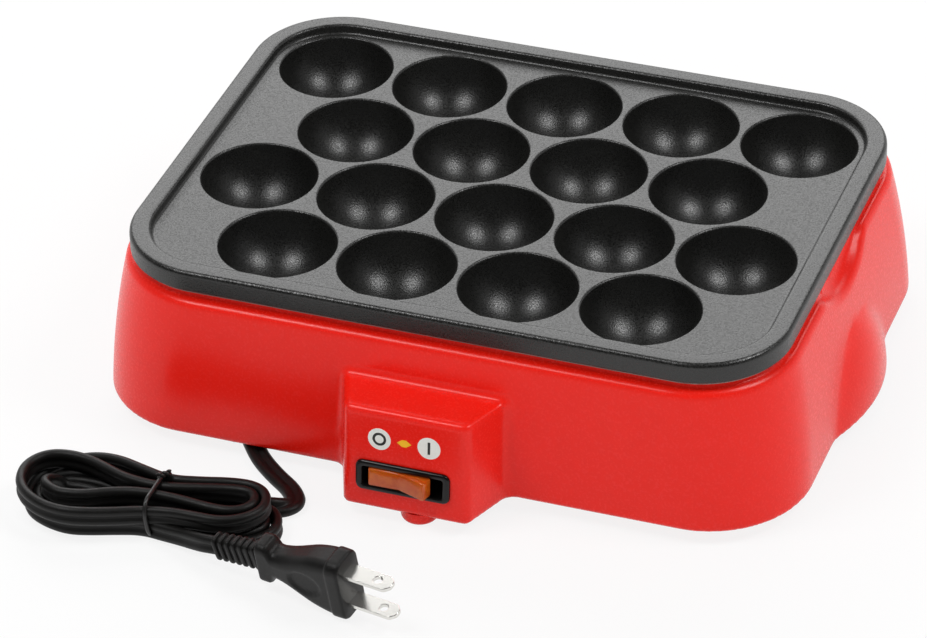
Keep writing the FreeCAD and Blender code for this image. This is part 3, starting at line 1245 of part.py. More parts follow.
def lead_sleeves():
    """Push-on sleeves over the five blades."""
    width, thick, length = mm("sleeve_width"), mm("sleeve_thick"), mm("sleeve_length")
    fit = mm("screw_fit")
    near = sleeve_start()
    body = Part.makeBox(length, width, thick, Vector(near, -width / 2, -thick / 2))
    slot_width, slot_thick = mm("tab_width") + 2 * fit, mm("tab_thickness") + 2 * fit
    slot = Part.makeBox(mm("tab_length") + fit - near + 1, slot_width, slot_thick,
                        Vector(near - 1, -slot_width / 2, -slot_thick / 2))
    sleeve = body.cut(slot)
    solids = []
    for seat in blade_seats():
        copy = sleeve.copy()
        copy.Placement = seat
        solids.append(copy)
    return plain("lead_sleeves", Part.makeCompound(solids))


def neon_lamp():
    """Neon lamp on the floor of the switch's recess, under the rocker's lit half."""
    lamp = Part.makeCylinder(mm("lamp_radius"), 6.0, Vector(5, 0, mm("lamp_radius") - mm("recess_depth")),
                             Vector(1, 0, 0))
    lamp.Placement = face_frame()
    return plain("neon_lamp", lamp)


# ---------------------------------------------------------------------------- leads and cord
def bush_sketch(body, name, height):
    """Level sketch on the cord bush, turned so that its -Y side faces along the cord."""
    sketch = sketch_at(body, name)
    sketch.AttachmentOffset = Placement(Vector(), Rotation(Vector(0, 0, 1), mm("bush_turn")))
    return bind(sketch, AttachmentOffset__Rotation__Angle="bush_turn", AttachmentOffset__Base__x="bush_x",
                AttachmentOffset__Base__y="bush_y", AttachmentOffset__Base__z=height)


def cord_bush():
    """Bush that grips the cord in the bottom cover, with a flange inside."""
    body = new_body("cord_bush")
    block = rounded_rectangle(bush_sketch(body, "BlockPlan", "bush_low"), "bush_half", "bush_depth", "bush_corner")
    pad(body, block, "bush_top - bush_low", "Block")
    flange = rounded_rectangle(bush_sketch(body, "FlangePlan", "cover_top"), "bush_flange_half",
                               "bush_flange_depth", "bush_flange_corner")
    pad(body, flange, "bush_flange", "Flange")
    return body


def bush_point(across, along, height):
    """Point on the bush: across the cord, along it towards the outside, and up."""
    turn = Rotation(Vector(0, 0, 1), mm("bush_turn"))
    return Vector(mm("bush_x"), mm("bush_y"), height) + turn.multVec(Vector(across, -along, 0))


def sleeve_exit(seat):
    """Point where the lead leaves a sleeve."""
    return seat.multVec(Vector(sleeve_start() + mm("sleeve_length"), 0, 0))


def connector_mouth():
    """Middle of the face of the closed-end connector where its three leads enter."""
    return Vector(mm("bush_x") + 18, mm("bush_y") + 18, mm("cover_top") + mm("connector_radius"))


def closed_end_connector():
    """Closed-end connector that joins three leads, lying on the cover."""
    mouth = connector_mouth()
    solid = Part.makeCylinder(mm("connector_radius"), mm("connector_length"), mouth, Vector(0, 1, 0))
    return plain("closed_end_connector", solid)


def lead_routes():
    """Routes of the insulated leads, each a list of points through the base."""
    seats = blade_seats()
    line, switched, lamp, stat_in, stat_out = (sleeve_exit(seat) for seat in seats)
    top = mm("bush_top")
    mouth = connector_mouth()
    gap = 2.1 * mm("lead_radius") / math.sqrt(3)
    entries = [mouth + Vector(gap * math.sin(turn), 0, gap * math.cos(turn)) for turn in (0.0, 2.094, 4.189)]
    middle, low, high = mm("middle_y"), mm("heater_low_y"), mm("heater_high_y")
    level = mm("cover_top") + 4.0
    pin_x, barrel_low = mm("pin_x"), mm("heater_z") - 5
    fuse_z = mm("tray_under") - mm("fuse_radius")
    fuse_low, fuse_high = mm("fuse_x") - mm("fuse_length") / 2, mm("fuse_x") + mm("fuse_length") / 2
    out, back = bush_point(-3, 0, top), bush_point(3, 0, top)
    behind = line + Vector(0, 12, 0)
    return {
        "lead_line": [out, out + Vector(0, 0, 9), Vector(-40, line.y + 12, top + 9), Vector(behind.x, behind.y + 2, line.z + 4),
                      line + Vector(0, 5, -0.5), line],
        "lead_switched": [switched, switched + Vector(0, 6, -0.65), Vector(0, middle - 60, level),
                          Vector(stat_in.x, middle - 22, level), stat_in - Vector(0, 0, 6), stat_in],
        "lead_heater": [stat_out, stat_out - Vector(0, 0, 6), Vector(40, middle - 10, level), Vector(90, low + 3, level),
                        Vector(pin_x, low, level + 8), Vector(pin_x, low, barrel_low)],
        "lead_neutral": [back, back + Vector(0, 0, 6), Vector(entries[2].x, entries[2].y - 9, entries[2].z),
                         entries[2]],
        "lead_lamp": [lamp, lamp + Vector(0, 5, -0.5), Vector(8, lamp.y + 19, level + 5),
                      Vector(-10, lamp.y + 21, level + 5), Vector(-34, lamp.y + 12, level + 1),
                      Vector(entries[0].x, entries[0].y - 7, entries[0].z), entries[0]],
        "lead_fuse": [entries[1], entries[1] - Vector(0, 6, 0), entries[1] + Vector(11, -7, 1),
                      entries[1] + Vector(12, 12, 3), Vector(fuse_low - 14, middle - 22, level + 8),
                      Vector(fuse_low - 12, middle, fuse_z - 5), Vector(fuse_low - 6, middle, fuse_z),
                      Vector(fuse_low, middle, fuse_z)],
        "lead_return": [Vector(fuse_high, middle, fuse_z), Vector(fuse_high + 5, middle, fuse_z),
                        Vector(-8, middle + 18, level + 6), Vector(40, high - 14, level), Vector(92, high - 3, level),
                        Vector(pin_x, high, level + 8), Vector(pin_x, high, barrel_low)],
    }


def leads():
    """All insulated leads of the base."""
    return [plain(label, round_tube(points, mm("lead_radius"))) for label, points in lead_routes().items()]


def flat_tube(points, width, thickness):
    """Flat cord with round edges along a rounded path, its width level and across the path."""
    path, radii = rounded_path(points)
    heading = (points[1] - points[0]).normalize()
    side = Vector(0, 0, 1).cross(heading).normalize()
    up = heading.cross(side)
    half, flat = thickness / 2, (width - thickness) / 2
    corners = [points[0] + side * (flat * a) + up * (half * b) for a, b in ((-1, 1), (1, 1), (1, -1), (-1, -1))]
    tips = [points[0] + side * (a * width / 2) for a in (1, -1)]
    edges = [Part.LineSegment(corners[0], corners[1]).toShape(), Part.Arc(corners[1], tips[0], corners[2]).toShape(),
             Part.LineSegment(corners[2], corners[3]).toShape(), Part.Arc(corners[3], tips[1], corners[0]).toShape()]
    shell = Part.BRepOffsetAPI.MakePipeShell(path)
    shell.setBiNormalMode(Vector(0, 0, 1))
    shell.add(Part.Wire(edges), False, False)
    shell.build()
    shell.makeSolid()
    return shell.shape(), path.Length, radii


# where the cord lies on the table, from the bush to the bundle: x, and y from the shell's middle
CORD_ROUTE = ((-58.2, -95.7), (-49.0, -103.2), (-41.2, -108.5), (-36.3, -115.5), (-38.6, -123.3), (-46.5, -128.0))
# outline of the bundled cord on the table, and the sides where the tie goes round it
HANK_OUTLINE = ((-128.4, -140.7), (-116, -122.7), (-100, -122.2), (-78, -127.7), (-58, -122.2), (-35, -131.7),
                (-50, -149.2), (-75, -150.2), (-95, -159.7), (-116.5, -157.7))
HANK_TIE_X = -77.0
HANK_TIE_SIDES = (-151.3, -126.7)
CORD_REST = 0.05


def on_table(x, y, z):
    """Point of the cord, with y counted from the shell's middle."""
    return Vector(x, y + mm("middle_y"), z)


def cord_run():
    """Flat cord from the bush, under the shell's edge, to the bundle."""
    level = mm("cord_thickness") / 2 + CORD_REST
    points = [bush_point(0, mm("bush_depth"), level + 0.8)]
    points += [on_table(x, y, level) for x, y in CORD_ROUTE]
    shape, length, radii = flat_tube(points, mm("cord_width"), mm("cord_thickness"))
    section = mm("cord_thickness") * (mm("cord_width") - mm("cord_thickness")) + math.pi * mm("cord_thickness") ** 2 / 4
    print("cord_run length", round(length, 2), "radii", [round(radius, 1) for radius in radii],
          "volume", round(shape.Volume), "section x length", round(section * length))
    return plain("cord_run", shape)


def cord_hank():
    """Bundled cord as one solid of its outer shape: two layers of cord on edge."""
    outline = Part.BSplineCurve()
    outline.interpolate([on_table(x, y, CORD_REST) for x, y in HANK_OUTLINE], PeriodicFlag=True)
    block = Part.Face(Part.Wire([outline.toShape()])).extrude(Vector(0, 0, mm("hank_height")))
    return plain("cord_hank", block.makeFillet(mm("hank_rounding"), block.Edges[:1] + block.Edges[-1:]))


def cord_tie():
    """Wire tie round the bundle, its ends twisted together on top."""
    wire = mm("tie_wire")
    near, far = HANK_TIE_SIDES
    middle = (near + far) / 2
    low, high = CORD_REST + wire, mm("hank_height") + CORD_REST + wire * 0.6
    x = HANK_TIE_X
    points = [on_table(x, middle + 1, high), on_table(x, far, high), on_table(x, far, low), on_table(x, near, low),
              on_table(x, near, high), on_table(x, middle - 1, high)]
    ring = Part.Wire([Part.Circle(points[0], Vector(0, 1, 0), wire).toShape()])
    loop = fixed_path(points, 3.0).makePipeShell([ring], True, False)
    twist = Part.makeCylinder(wire * 1.5, 11.0, on_table(x - 2, middle - 1.5, high + wire * 0.6),
                              Vector(0.9, 0.44, 0.05))
    return plain("cord_tie", loop.fuse(twist))


# -------------------------------------------------------------------------------------- plug
def plug_frame(lift):
    """Placement of the plug on the table: x out of its face, z across the blades."""
    turn = Rotation(Vector(0, 0, 1), mm("plug_yaw")) * Rotation(Vector(0, 1, 0), -mm("plug_pitch"))
    turn = turn * Rotation(Vector(1, 0, 0), mm("plug_roll"))
    return Placement(Vector(mm("plug_x"), mm("middle_y") - mm("plug_front"), lift), turn)


def plug_section(body, name, offset, thick, wide, corner):
    """Cross-section of the plug at a distance behind its face."""
    return rounded_rectangle(sketch_at(body, name, offset, role="YZ_Plane"), thick, wide, corner)


def plug_body():
    """Plug: block at the blades, waist with thumb rests, collar and ribbed strain relief."""
    body = new_body("plug_body")
    face = plug_section(body, "FaceOutline", "0", "plug_thick_half", "plug_wide_half", "plug_block_corner")
    pad(body, face, "plug_block", "BladeBlock", reverse=True)
    waist = [plug_section(body, "WaistStart", "-plug_block", "plug_thick_half", "plug_wide_half",
                          "plug_block_corner"),
             plug_section(body, "WaistMiddle", "-plug_middle_x", "middle_thick_half", "middle_wide_half",
                          "middle_corner"),
             plug_section(body, "WaistEnd", "-plug_neck_x", "neck_thick_half", "neck_wide_half", "neck_corner")]
    loft(body, "AdditiveLoft", waist, "Waist")
    collar = plug_section(body, "CollarOutline", "-plug_neck_x", "neck_thick_half", "collar_wide_half",
                          "collar_corner")
    pad(body, collar, "plug_collar", "Collar", reverse=True)
    for side, sign in enumerate(("-", "")):
        rest = body.newObject("PartDesign::SubtractiveSphere", f"ThumbRest{side}")
        rest.AttachmentSupport = [(origin_feature(body, "XY_Plane"), "")]
        rest.MapMode = "FlatFace"
        bind(rest, Radius="thumb_radius", AttachmentOffset__Base__x="-plug_middle_x * 0.9",
             AttachmentOffset__Base__y=sign + "thumb_y")
    return body


def strain_relief():
    """Ribbed strain relief behind the plug, drooping towards the bundle."""
    wide, thick, length = mm("relief_wide"), mm("relief_thick"), mm("relief_length")
    core_wide, core_thick = wide * 0.78, thick * 0.7
    play = core_wide / 2 * math.sin(math.radians(mm("relief_droop"))) + 2 * mm("screw_fit")
    solid = Part.makeBox(length - play, core_thick, core_wide, Vector(-length, -core_thick / 2, -core_wide / 2))
    rib_count = round(mm("rib_count"))
    pitch = length / rib_count
    for rib in range(rib_count):
        start = -(rib + 0.8) * pitch
        solid = solid.fuse(Part.makeBox(pitch * 0.6, thick, wide, Vector(start, -thick / 2, -wide / 2)))
    return solid.removeSplitter()


def plug():
    """Plug body, strain relief and blades, set down on the table together."""
    body = plug_body()
    DOC.recompute()
    shape = body.Shape.copy()
    shape.Placement = plug_frame(0.0)
    vertices, _ = shape.tessellate(0.05)
    frame = plug_frame(CORD_REST - min(point.z for point in vertices))
    body.Placement = frame
    relief = strain_relief()
    droop = Placement(Vector(-mm("plug_length"), 0, 0), Rotation(Vector(0, 1, 0), -mm("relief_droop")))
    relief.Placement = frame.multiply(droop)
    blades = []
    for sign in (-1, 1):
        blade = blade_with_hole(mm("blade_width"), mm("blade_thickness"), mm("blade_length"), mm("blade_hole"),
                                mm("blade_hole_at"))
        blade.Placement = frame.multiply(Placement(Vector(0, 0, sign * mm("blade_spacing") / 2), Rotation()))
        blades.append(blade)
    tail_start = relief.Placement.multVec(Vector(-mm("relief_length"), 0, 0))
    return [body, plain("plug_relief", relief), plain("plug_blades", Part.makeCompound(blades)),
            cord_tail(tail_start)]


def cord_tail(start):
    """Last of the cord, on edge, from the bundle into the strain relief."""
    end = Vector(start.x - 9, start.y + 3.6, start.z - 0.3)
    heading = end - start
    half, flat = mm("cord_thickness") / 2, mm("cord_width") / 2
    block = Part.makeBox(heading.Length, 2 * half, 2 * flat, Vector(0, -half, -flat))
    block = block.makeFillet(half * 0.9, [edge for edge in block.Edges if edge.BoundBox.XLength > 1])
    block.Placement = Placement(start, Rotation(Vector(1, 0, 0), heading))
    return plain("cord_tail", block)


# ------------------------------------------------------------------------------------- output
def sub_parts():
    """Build every sub-part, in the order of assembly from the table upwards."""
    parts = [bottom_cover(), base_shell(), cord_bush(), closed_end_connector()]
    parts += [screws("cover_screws", "boss_x", "boss_y", "cover_under", True)]
    parts += [switch_housing(), switch_rocker(), switch_blades(), lead_sleeves(), neon_lamp()]
    parts += [reflector_tray(), screws("tray_screws", "post_spread_x", "post_spread_y", "tray_floor", False)]
    parts += [sheathed_heater(), heater_seals(), heater_pins(), heater_clips(), tray_rivets()]
    parts += [thermostat(), thermal_fuse(), fuse_strap()]
    parts += leads()
    parts += [takoyaki_plate(), cord_run(), cord_hank(), cord_tie()]
    return parts + plug()


def faults(parts):
    """Everything wrong in the document or with a sub-part's shape."""
    found = [f"{item.Name} {item.State}" for item in DOC.Objects
             if "Invalid" in item.State or "Error" in item.State]
    for item in parts:
        if item.Shape.isNull() or not item.Shape.isValid() or not item.Shape.Solids:
            found.append(f"{item.Label} has no valid solid")
    return found


def main():
    """Build, check and write one STEP file for each sub-part."""
    os.makedirs("parts", exist_ok=True)
    parts = sub_parts()
    DOC.recompute()
    wrong = faults(parts)
    for line in wrong:
        print("FAULT", line)
    if wrong:
        raise RuntimeError("the document has faults")
    for item in parts:
        item.Shape.exportStep(f"parts/{item.Label}.step")
        print(item.Label, len(item.Shape.Solids), round(item.Shape.Volume, 1))


if __name__ == "__main__":
    main()
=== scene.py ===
"""Dressed model of an electric takoyaki maker: drafted plastic base, lift-off cast plate, bundled lead.

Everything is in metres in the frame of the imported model. Sizes in this file are written in
millimetres and turned to metres where a mesh is made.
"""
import logging
import math
from collections.abc import Callable, Iterable, Sequence
from dataclasses import dataclass, field
from enum import Enum
from typing import Any

import bmesh
import bpy
import numpy as np
from mathutils import Matrix, Vector
from mathutils.geometry import delaunay_2d_cdt


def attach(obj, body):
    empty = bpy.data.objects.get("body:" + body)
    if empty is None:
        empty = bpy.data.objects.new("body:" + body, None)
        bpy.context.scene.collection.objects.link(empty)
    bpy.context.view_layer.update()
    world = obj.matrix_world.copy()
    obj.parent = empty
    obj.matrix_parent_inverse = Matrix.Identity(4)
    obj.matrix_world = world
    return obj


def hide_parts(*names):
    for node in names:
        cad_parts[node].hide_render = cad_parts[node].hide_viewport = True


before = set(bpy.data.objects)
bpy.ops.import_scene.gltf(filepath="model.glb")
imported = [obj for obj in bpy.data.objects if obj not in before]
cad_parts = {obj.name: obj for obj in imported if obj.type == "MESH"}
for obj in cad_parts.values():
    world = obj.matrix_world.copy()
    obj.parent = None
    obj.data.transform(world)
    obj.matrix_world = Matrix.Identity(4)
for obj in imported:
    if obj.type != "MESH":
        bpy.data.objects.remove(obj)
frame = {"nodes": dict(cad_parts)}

log = logging.getLogger("maker")

MM = 0.001
MIDDLE_Y = 12.0267          # middle of the shell in the frame, mm
BASE, PLATE, ROCKER = "base", "plate", "rocker"

Point = tuple[float, float, float]
Shape = tuple[list[Point], list[tuple[int, ...]]]       # points in mm, and the corners of each face
Field = Callable[[np.ndarray, np.ndarray, np.ndarray], np.ndarray]


# ------------------------------------------------------------------------------ small helpers
def linear(code: str) -> tuple[float, float, float, float]:
    """Linear colour of an sRGB hex code.

    Args:
        code: six hex digits with a leading '#'.

    Returns:
        Red, green, blue and full alpha, for a shader socket.
    """
    channels = [int(code[place:place + 2], 16) / 255 for place in (1, 3, 5)]
    red, green, blue = (c / 12.92 if c <= 0.04045 else ((c + 0.055) / 1.055) ** 2.4 for c in channels)
    return red, green, blue, 1.0


def add_node(tree: bpy.types.NodeTree, kind: str, settings: dict | None = None,
             links: dict | None = None) -> bpy.types.Node:
    """Add a node with its settings and links.

    Args:
        tree: tree that gets the node.
        kind: Blender's name of the node type.
        settings: value by attribute name, or for an input by its number or its name in brackets.
        links: input name or number to the output socket that feeds it.

    Returns:
        The new node.
    """
    node = tree.nodes.new(kind)
    for name, value in (settings or {}).items():
        if isinstance(name, int) or name.startswith("["):
            key = name if isinstance(name, int) else name[1:-1]
            node.inputs[key].default_value = value
        else:
            setattr(node, name, value)
    for name, socket in (links or {}).items():
        tree.links.new(socket, node.inputs[name])
    return node


def empty_tree(owner: bpy.types.Material | bpy.types.World) -> bpy.types.NodeTree:
    """Node tree of a material or a world, switched on and emptied.

    Args:
        owner: the material or the world.

    Returns:
        Its tree.
    """
    owner.use_nodes = True
    owner.node_tree.nodes.clear()
    return owner.node_tree


def linked(name: str, data: bpy.types.ID) -> bpy.types.Object:
    """New object in the scene.

    Args:
        name: its name.
        data: its mesh, curve, lamp or camera.

    Returns:
        The object.
    """
    thing = bpy.data.objects.new(name, data)
    bpy.context.scene.collection.objects.link(thing)
    return thing


def evaluated_mesh(carrier: bpy.types.Object) -> bpy.types.Mesh:
    """Plain mesh of what an object's curve or modifiers make."""
    seen = carrier.evaluated_get(bpy.context.evaluated_depsgraph_get())
    return bpy.data.meshes.new_from_object(seen)


def mesh_object(name: str, points: Iterable[Sequence[float]], faces: Iterable[Sequence[int]],
                smooth: bool = True) -> bpy.types.Object:
    """Object at the origin from points in millimetres.

    Args:
        name: name of the object and its mesh.
        points: corners, in mm.
        faces: corner numbers of each face.
        smooth: whether the faces are shaded smooth.

    Returns:
        The linked object.
    """
    mesh = bpy.data.meshes.new(name)
    mesh.from_pydata([tuple(c * MM for c in point) for point in points], [], [tuple(f) for f in faces])
    mesh.update()
    if smooth:
        mesh.shade_smooth()
    return linked(name, mesh)


def tidy_mesh(thing: bpy.types.Object, merge: float = 0.01, crease: float | None = None) -> bpy.types.Object:
    """Merge doubles, turn the faces outwards and mark sharp edges.

    Args:
        thing: object whose mesh is cleaned.
        merge: distance in mm below which corners are one.
        crease: angle in degrees from which an edge is shaded sharp, or None for none.

    Returns:
        The same object.
    """
    work = bmesh.new()
    work.from_mesh(thing.data)
    bmesh.ops.remove_doubles(work, verts=work.verts, dist=merge * MM)
    bmesh.ops.dissolve_degenerate(work, edges=work.edges, dist=merge * MM * 0.1)
    bmesh.ops.recalc_face_normals(work, faces=work.faces)
    if crease is not None:
        limit = math.radians(crease)
        for edge in work.edges:
            edge.smooth = not (len(edge.link_faces) == 2 and edge.calc_face_angle(0) > limit)
    work.to_mesh(thing.data)
    work.free()
    return thing


def settle(thing: bpy.types.Object, body: str, material: bpy.types.Material | None = None,
           replaces: Sequence[str] = ()) -> bpy.types.Object:
    """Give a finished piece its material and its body.

    Args:
        thing: the piece.
        body: body that it rides on.
        material: material for the whole piece, or None where it has its own already.
        replaces: CAD nodes that it stands for.

    Returns:
        The same object.
    """
    if material is not None:
        thing.data.materials.clear()
        thing.data.materials.append(material)
    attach(thing, body)
    if replaces:
        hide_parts(*replaces)
    triangles = sum(len(face.vertices) - 2 for face in thing.data.polygons)
    log.info("%s: %d triangles on %s", thing.name, triangles, body)
    return thing


def rounded_outline(half_x: float, half_y: float, corner: float, per_corner: int,
                    per_side: int) -> list[tuple[float, float]]:
    """Closed outline of a rounded rectangle, anticlockwise.

    Args:
        half_x: half its length.
        half_y: half its width.
        corner: corner radius.
        per_corner: steps round each corner.
        per_side: steps along each side.

    Returns:
        Points round the outline, always as many for the same steps.
    """
    centres = ((half_x - corner, half_y - corner), (corner - half_x, half_y - corner),
               (corner - half_x, corner - half_y), (half_x - corner, corner - half_y))
    points: list[tuple[float, float]] = []
    for quarter, (cx, cy) in enumerate(centres):
        for step in range(per_corner + 1):
            turn = math.pi / 2 * (quarter + step / per_corner)
            points.append((cx + corner * math.cos(turn), cy + corner * math.sin(turn)))
        last, following = points[-1], centres[(quarter + 1) % 4]
        turn = math.pi / 2 * (quarter + 1)
        start = (following[0] + corner * math.cos(turn), following[1] + corner * math.sin(turn))
        for step in range(1, per_side):
            part = step / per_side
            points.append((last[0] + (start[0] - last[0]) * part, last[1] + (start[1] - last[1]) * part))
    return points


def bridge(rings: Sequence[Sequence[Point]], closed: bool = False) -> Shape:
    """Quads between rings of as many points each.

    Args:
        rings: rings of points, in order.
        closed: whether the last ring joins the first.

    Returns:
        Points and faces.
    """
    count = len(rings[0])
    points = [point for ring in rings for point in ring]
    faces = []
    for row in range(len(rings) if closed else len(rings) - 1):
        following = (row + 1) % len(rings)
        for place in range(count):
            side = (place + 1) % count
            faces.append((row * count + place, row * count + side, following * count + side,
                          following * count + place))
    return points, faces


def capped(rings: Sequence[Sequence[Point]], near: Point, far: Point) -> Shape:
    """Quads between rings, with both ends drawn together to a point.

    Args:
        rings: rings of as many points each, in order.
        near: point that closes the first ring.
        far: point that closes the last ring.

    Returns:
        Points and faces.
    """
    count = len(rings[0])
    return bridge([[near] * count, *rings, [far] * count])


def joined(shapes: Iterable[Shape]) -> Shape:
    """Several shapes as one.

    Args:
        shapes: points and faces of each.

    Returns:
        Points and faces of them all, in the same order.
    """
    points: list[Point] = []
    faces: list[tuple[int, ...]] = []
    for some, others in shapes:
        faces += [tuple(corner + len(points) for corner in face) for face in others]
        points += some
    return points, faces


def full_turn(steps: int) -> list[float]:
    """Angles of equal steps round a full turn."""
    return [2 * math.pi * step / steps for step in range(steps)]


def circle(x: float, y: float, radius: float, steps: int) -> list[tuple[float, float]]:
    """Points round a circle, anticlockwise from its right."""
    return [(x + radius * math.cos(turn), y + radius * math.sin(turn)) for turn in full_turn(steps)]


# -------------------------------------------------------------------------------- finishes
class Pattern(Enum):
    """How a surface was made, as its fine pattern shows it."""

    MOULDED = "moulded"
    COATED = "coated"
    BRUSHED = "brushed"
    CAST = "cast"


@dataclass(frozen=True)
class Finish:
    """Opaque finish of one real material, with colour, roughness and relief from its pattern."""

    name: str
    slot: str
    colour: str
    second: str
    pattern: Pattern = Pattern.MOULDED
    roughness: float = 0.4
    spread: float = 0.06
    metallic: float = 0.0
    ior: float = 1.5
    grain: float = 0.6          # size of the pattern's grain, mm
    relief: float = 0.01        # height of its relief, mm
    cloud: float = 25.0         # size of the slow change of colour, mm

    def build(self) -> bpy.types.Material:
        """Build the material.

        Returns:
            The material with its nodes.
        """
        material = bpy.data.materials.new(self.name)
        tree = empty_tree(material)
        place = add_node(tree, "ShaderNodeTexCoord").outputs["Object"]
        grain, clouds = self.grain_noise(tree, place), self.cloud_noise(tree, place)
        colour = add_node(tree, "ShaderNodeMix", {"data_type": "RGBA", 6: linear(self.colour),
                                                  7: linear(self.second)},
                          {0: self.blend(tree, grain, clouds)}).outputs[2]
        rough = add_node(tree, "ShaderNodeMapRange",
                         {"[To Min]": max(0.02, self.roughness - self.spread),
                          "[To Max]": min(1.0, self.roughness + self.spread), "[From Min]": 0.3,
                          "[From Max]": 0.7}, {"Value": grain}).outputs["Result"]
        bump = add_node(tree, "ShaderNodeBump", {"[Strength]": 1.0, "[Distance]": self.relief * MM},
                        {"Height": grain}).outputs["Normal"]
        shader = add_node(tree, "ShaderNodeBsdfPrincipled", {"[Metallic]": self.metallic, "[IOR]": self.ior},
                          {"Base Color": colour, "Roughness": rough, "Normal": bump})
        self.extra(tree, shader)
        add_node(tree, "ShaderNodeOutputMaterial", {}, {"Surface": shader.outputs["BSDF"]})
        return material

    def grain_noise(self, tree: bpy.types.NodeTree, place: bpy.types.NodeSocket) -> bpy.types.NodeSocket:
        """Fine pattern from its real size.

        Args:
            tree: the material's tree.
            place: object coordinates.

        Returns:
            Socket with the pattern from 0 to 1.
        """
        size = 1 / (self.grain * MM)
        stretch = (size * 0.02, size, size) if self.pattern is Pattern.BRUSHED else (size, size, size)
        mapped = add_node(tree, "ShaderNodeMapping", {"[Scale]": stretch}, {"Vector": place}).outputs[0]
        if self.pattern is Pattern.COATED:
            cells = add_node(tree, "ShaderNodeTexVoronoi", {"feature": "SMOOTH_F1", "[Scale]": 1.0,
                                                            "[Smoothness]": 0.6}, {"Vector": mapped})
            return cells.outputs["Distance"]
        detail = 5.0 if self.pattern is Pattern.CAST else 2.0
        noise = add_node(tree, "ShaderNodeTexNoise", {"[Scale]": 1.0, "[Detail]": detail}, {"Vector": mapped})
        return noise.outputs["Fac"]

    def cloud_noise(self, tree: bpy.types.NodeTree, place: bpy.types.NodeSocket) -> bpy.types.NodeSocket:
        """Slow change of tone over the piece."""
        noise = add_node(tree, "ShaderNodeTexNoise", {"[Scale]": 1 / (self.cloud * MM), "[Detail]": 1.0},
                         {"Vector": place})
        return noise.outputs["Fac"]

    def blend(self, tree: bpy.types.NodeTree, grain: bpy.types.NodeSocket,
              clouds: bpy.types.NodeSocket) -> bpy.types.NodeSocket:
        """Share of the second colour at each point."""
        product = add_node(tree, "ShaderNodeMath", {"operation": "MULTIPLY"}, {0: grain, 1: clouds})
        return add_node(tree, "ShaderNodeMapRange", {"[From Min]": 0.1, "[From Max]": 0.45},
                        {"Value": product.outputs[0]}).outputs["Result"]

    def extra(self, tree: bpy.types.NodeTree, shader: bpy.types.Node) -> None:
        """Change the shader further, where a finish needs it."""


@dataclass(frozen=True)
class ClearFinish(Finish):
    """Finish of a clear or cloudy material, with the share of light that it lets through or scatters."""

    transmission: float = 0.8
    scatter: float = 0.0

    def extra(self, tree: bpy.types.NodeTree, shader: bpy.types.Node) -> None:
        """Let light through the piece.

        Args:
            tree: the material's tree.
            shader: its surface shader.
        """
        shader.inputs["Transmission Weight"].default_value = self.transmission
        shader.inputs["Subsurface Weight"].default_value = self.scatter
        shader.inputs["Subsurface Radius"].default_value = (0.004, 0.0018, 0.0006)


# Real mould grain, coating grit and rolling or polishing lines are finer than a render of the whole
# object can show, so each grain below is drawn several times coarser than the real one. An IOR under
# the material's own, about 1.5 for these plastics, was lowered to match the object's gloss.

# Gloss-moulded polypropylene: a clear saturated red with broad, slightly soft highlights.
RED_PLASTIC = Finish("red moulded polypropylene", "red_shell", "#e81a0e", "#ea1f12", roughness=0.27,
                     spread=0.01, ior=1.36, grain=0.9, relief=0.0004, cloud=60.0)
# Cast aluminium with a fluoropolymer coating: near black, satin, with a fine soft grit.
NON_STICK = Finish("non-stick coated aluminium", "coated_plate", "#121211", "#1c1c1a", Pattern.COATED,
                   roughness=0.34, spread=0.09, ior=1.54, grain=0.5, relief=0.04, cloud=30.0)
# Drawn aluminised steel with fine rolling lines. Its dull grey is darkened as painted shade for the gap under
# the plate's skirt.
SHADE_DARKENED_TRAY_METAL = Finish("drawn aluminised steel", "tray_metal", "#8d8b86", "#75736f", Pattern.BRUSHED,
                    roughness=0.46, spread=0.08, metallic=1.0, grain=0.35, relief=0.004)
# Annealed stainless sheath: dark straw-grey, dull.
HEATER_STEEL = Finish("annealed stainless sheath", "heater_steel", "#5b5750", "#474440", Pattern.CAST,
                      roughness=0.42, spread=0.08, metallic=0.9, grain=0.8, relief=0.01)
# Steatite ceramic: off-white, dry.
CERAMIC = Finish("steatite ceramic", "white_ceramic", "#e4e0d6", "#d8d3c6", roughness=0.6, grain=0.5,
                 relief=0.01)
# Turned brass pins.
BRASS = Finish("turned brass", "brass", "#c9a24e", "#b58d3f", Pattern.BRUSHED, roughness=0.25,
               spread=0.05, metallic=1.0, grain=0.2, relief=0.002)
# Nickel-plated brass blades: bright, faintly warm, with polishing lines along their length.
NICKEL = Finish("nickel-plated brass", "nickel_brass", "#e6e5e1", "#dad8d3", Pattern.BRUSHED,
                roughness=0.22, spread=0.04, metallic=1.0, grain=0.25, relief=0.002)
# Zinc-plated steel: cool grey, slightly cloudy.
ZINC = Finish("zinc-plated steel", "zinc_steel", "#bcc1c6", "#a2a7ac", Pattern.CAST, roughness=0.35,
              spread=0.1, metallic=1.0, grain=0.8, relief=0.004)
# Gloss-moulded nylon of the switch and the cord bush: deep black with tight highlights.
BLACK_PLASTIC = Finish("black moulded nylon", "black_plastic", "#0b0a0a", "#111010", roughness=0.2,
                       spread=0.03, ior=1.36, grain=0.5, relief=0.002)
# PVC jacket: black, soft satin, with slow flow marks.
CORD_PVC = Finish("black PVC jacket", "cord_black", "#0c0b0a", "#131211", roughness=0.46, spread=0.05,
                  ior=1.34, grain=0.9, relief=0.006, cloud=12.0)
# PVC drawn over a thin wire: black with a narrow soft sheen.
TIE_PVC = Finish("PVC-covered tie wire", "tie_black", "#161515", "#1e1d1c", roughness=0.35, grain=0.4,
                 relief=0.004)
# Extruded PVC insulation: warm white, satin.
WHITE_PVC = Finish("white PVC lead", "lead_white", "#e7e6e1", "#dbdad4", roughness=0.5, grain=0.6,
                   relief=0.006)
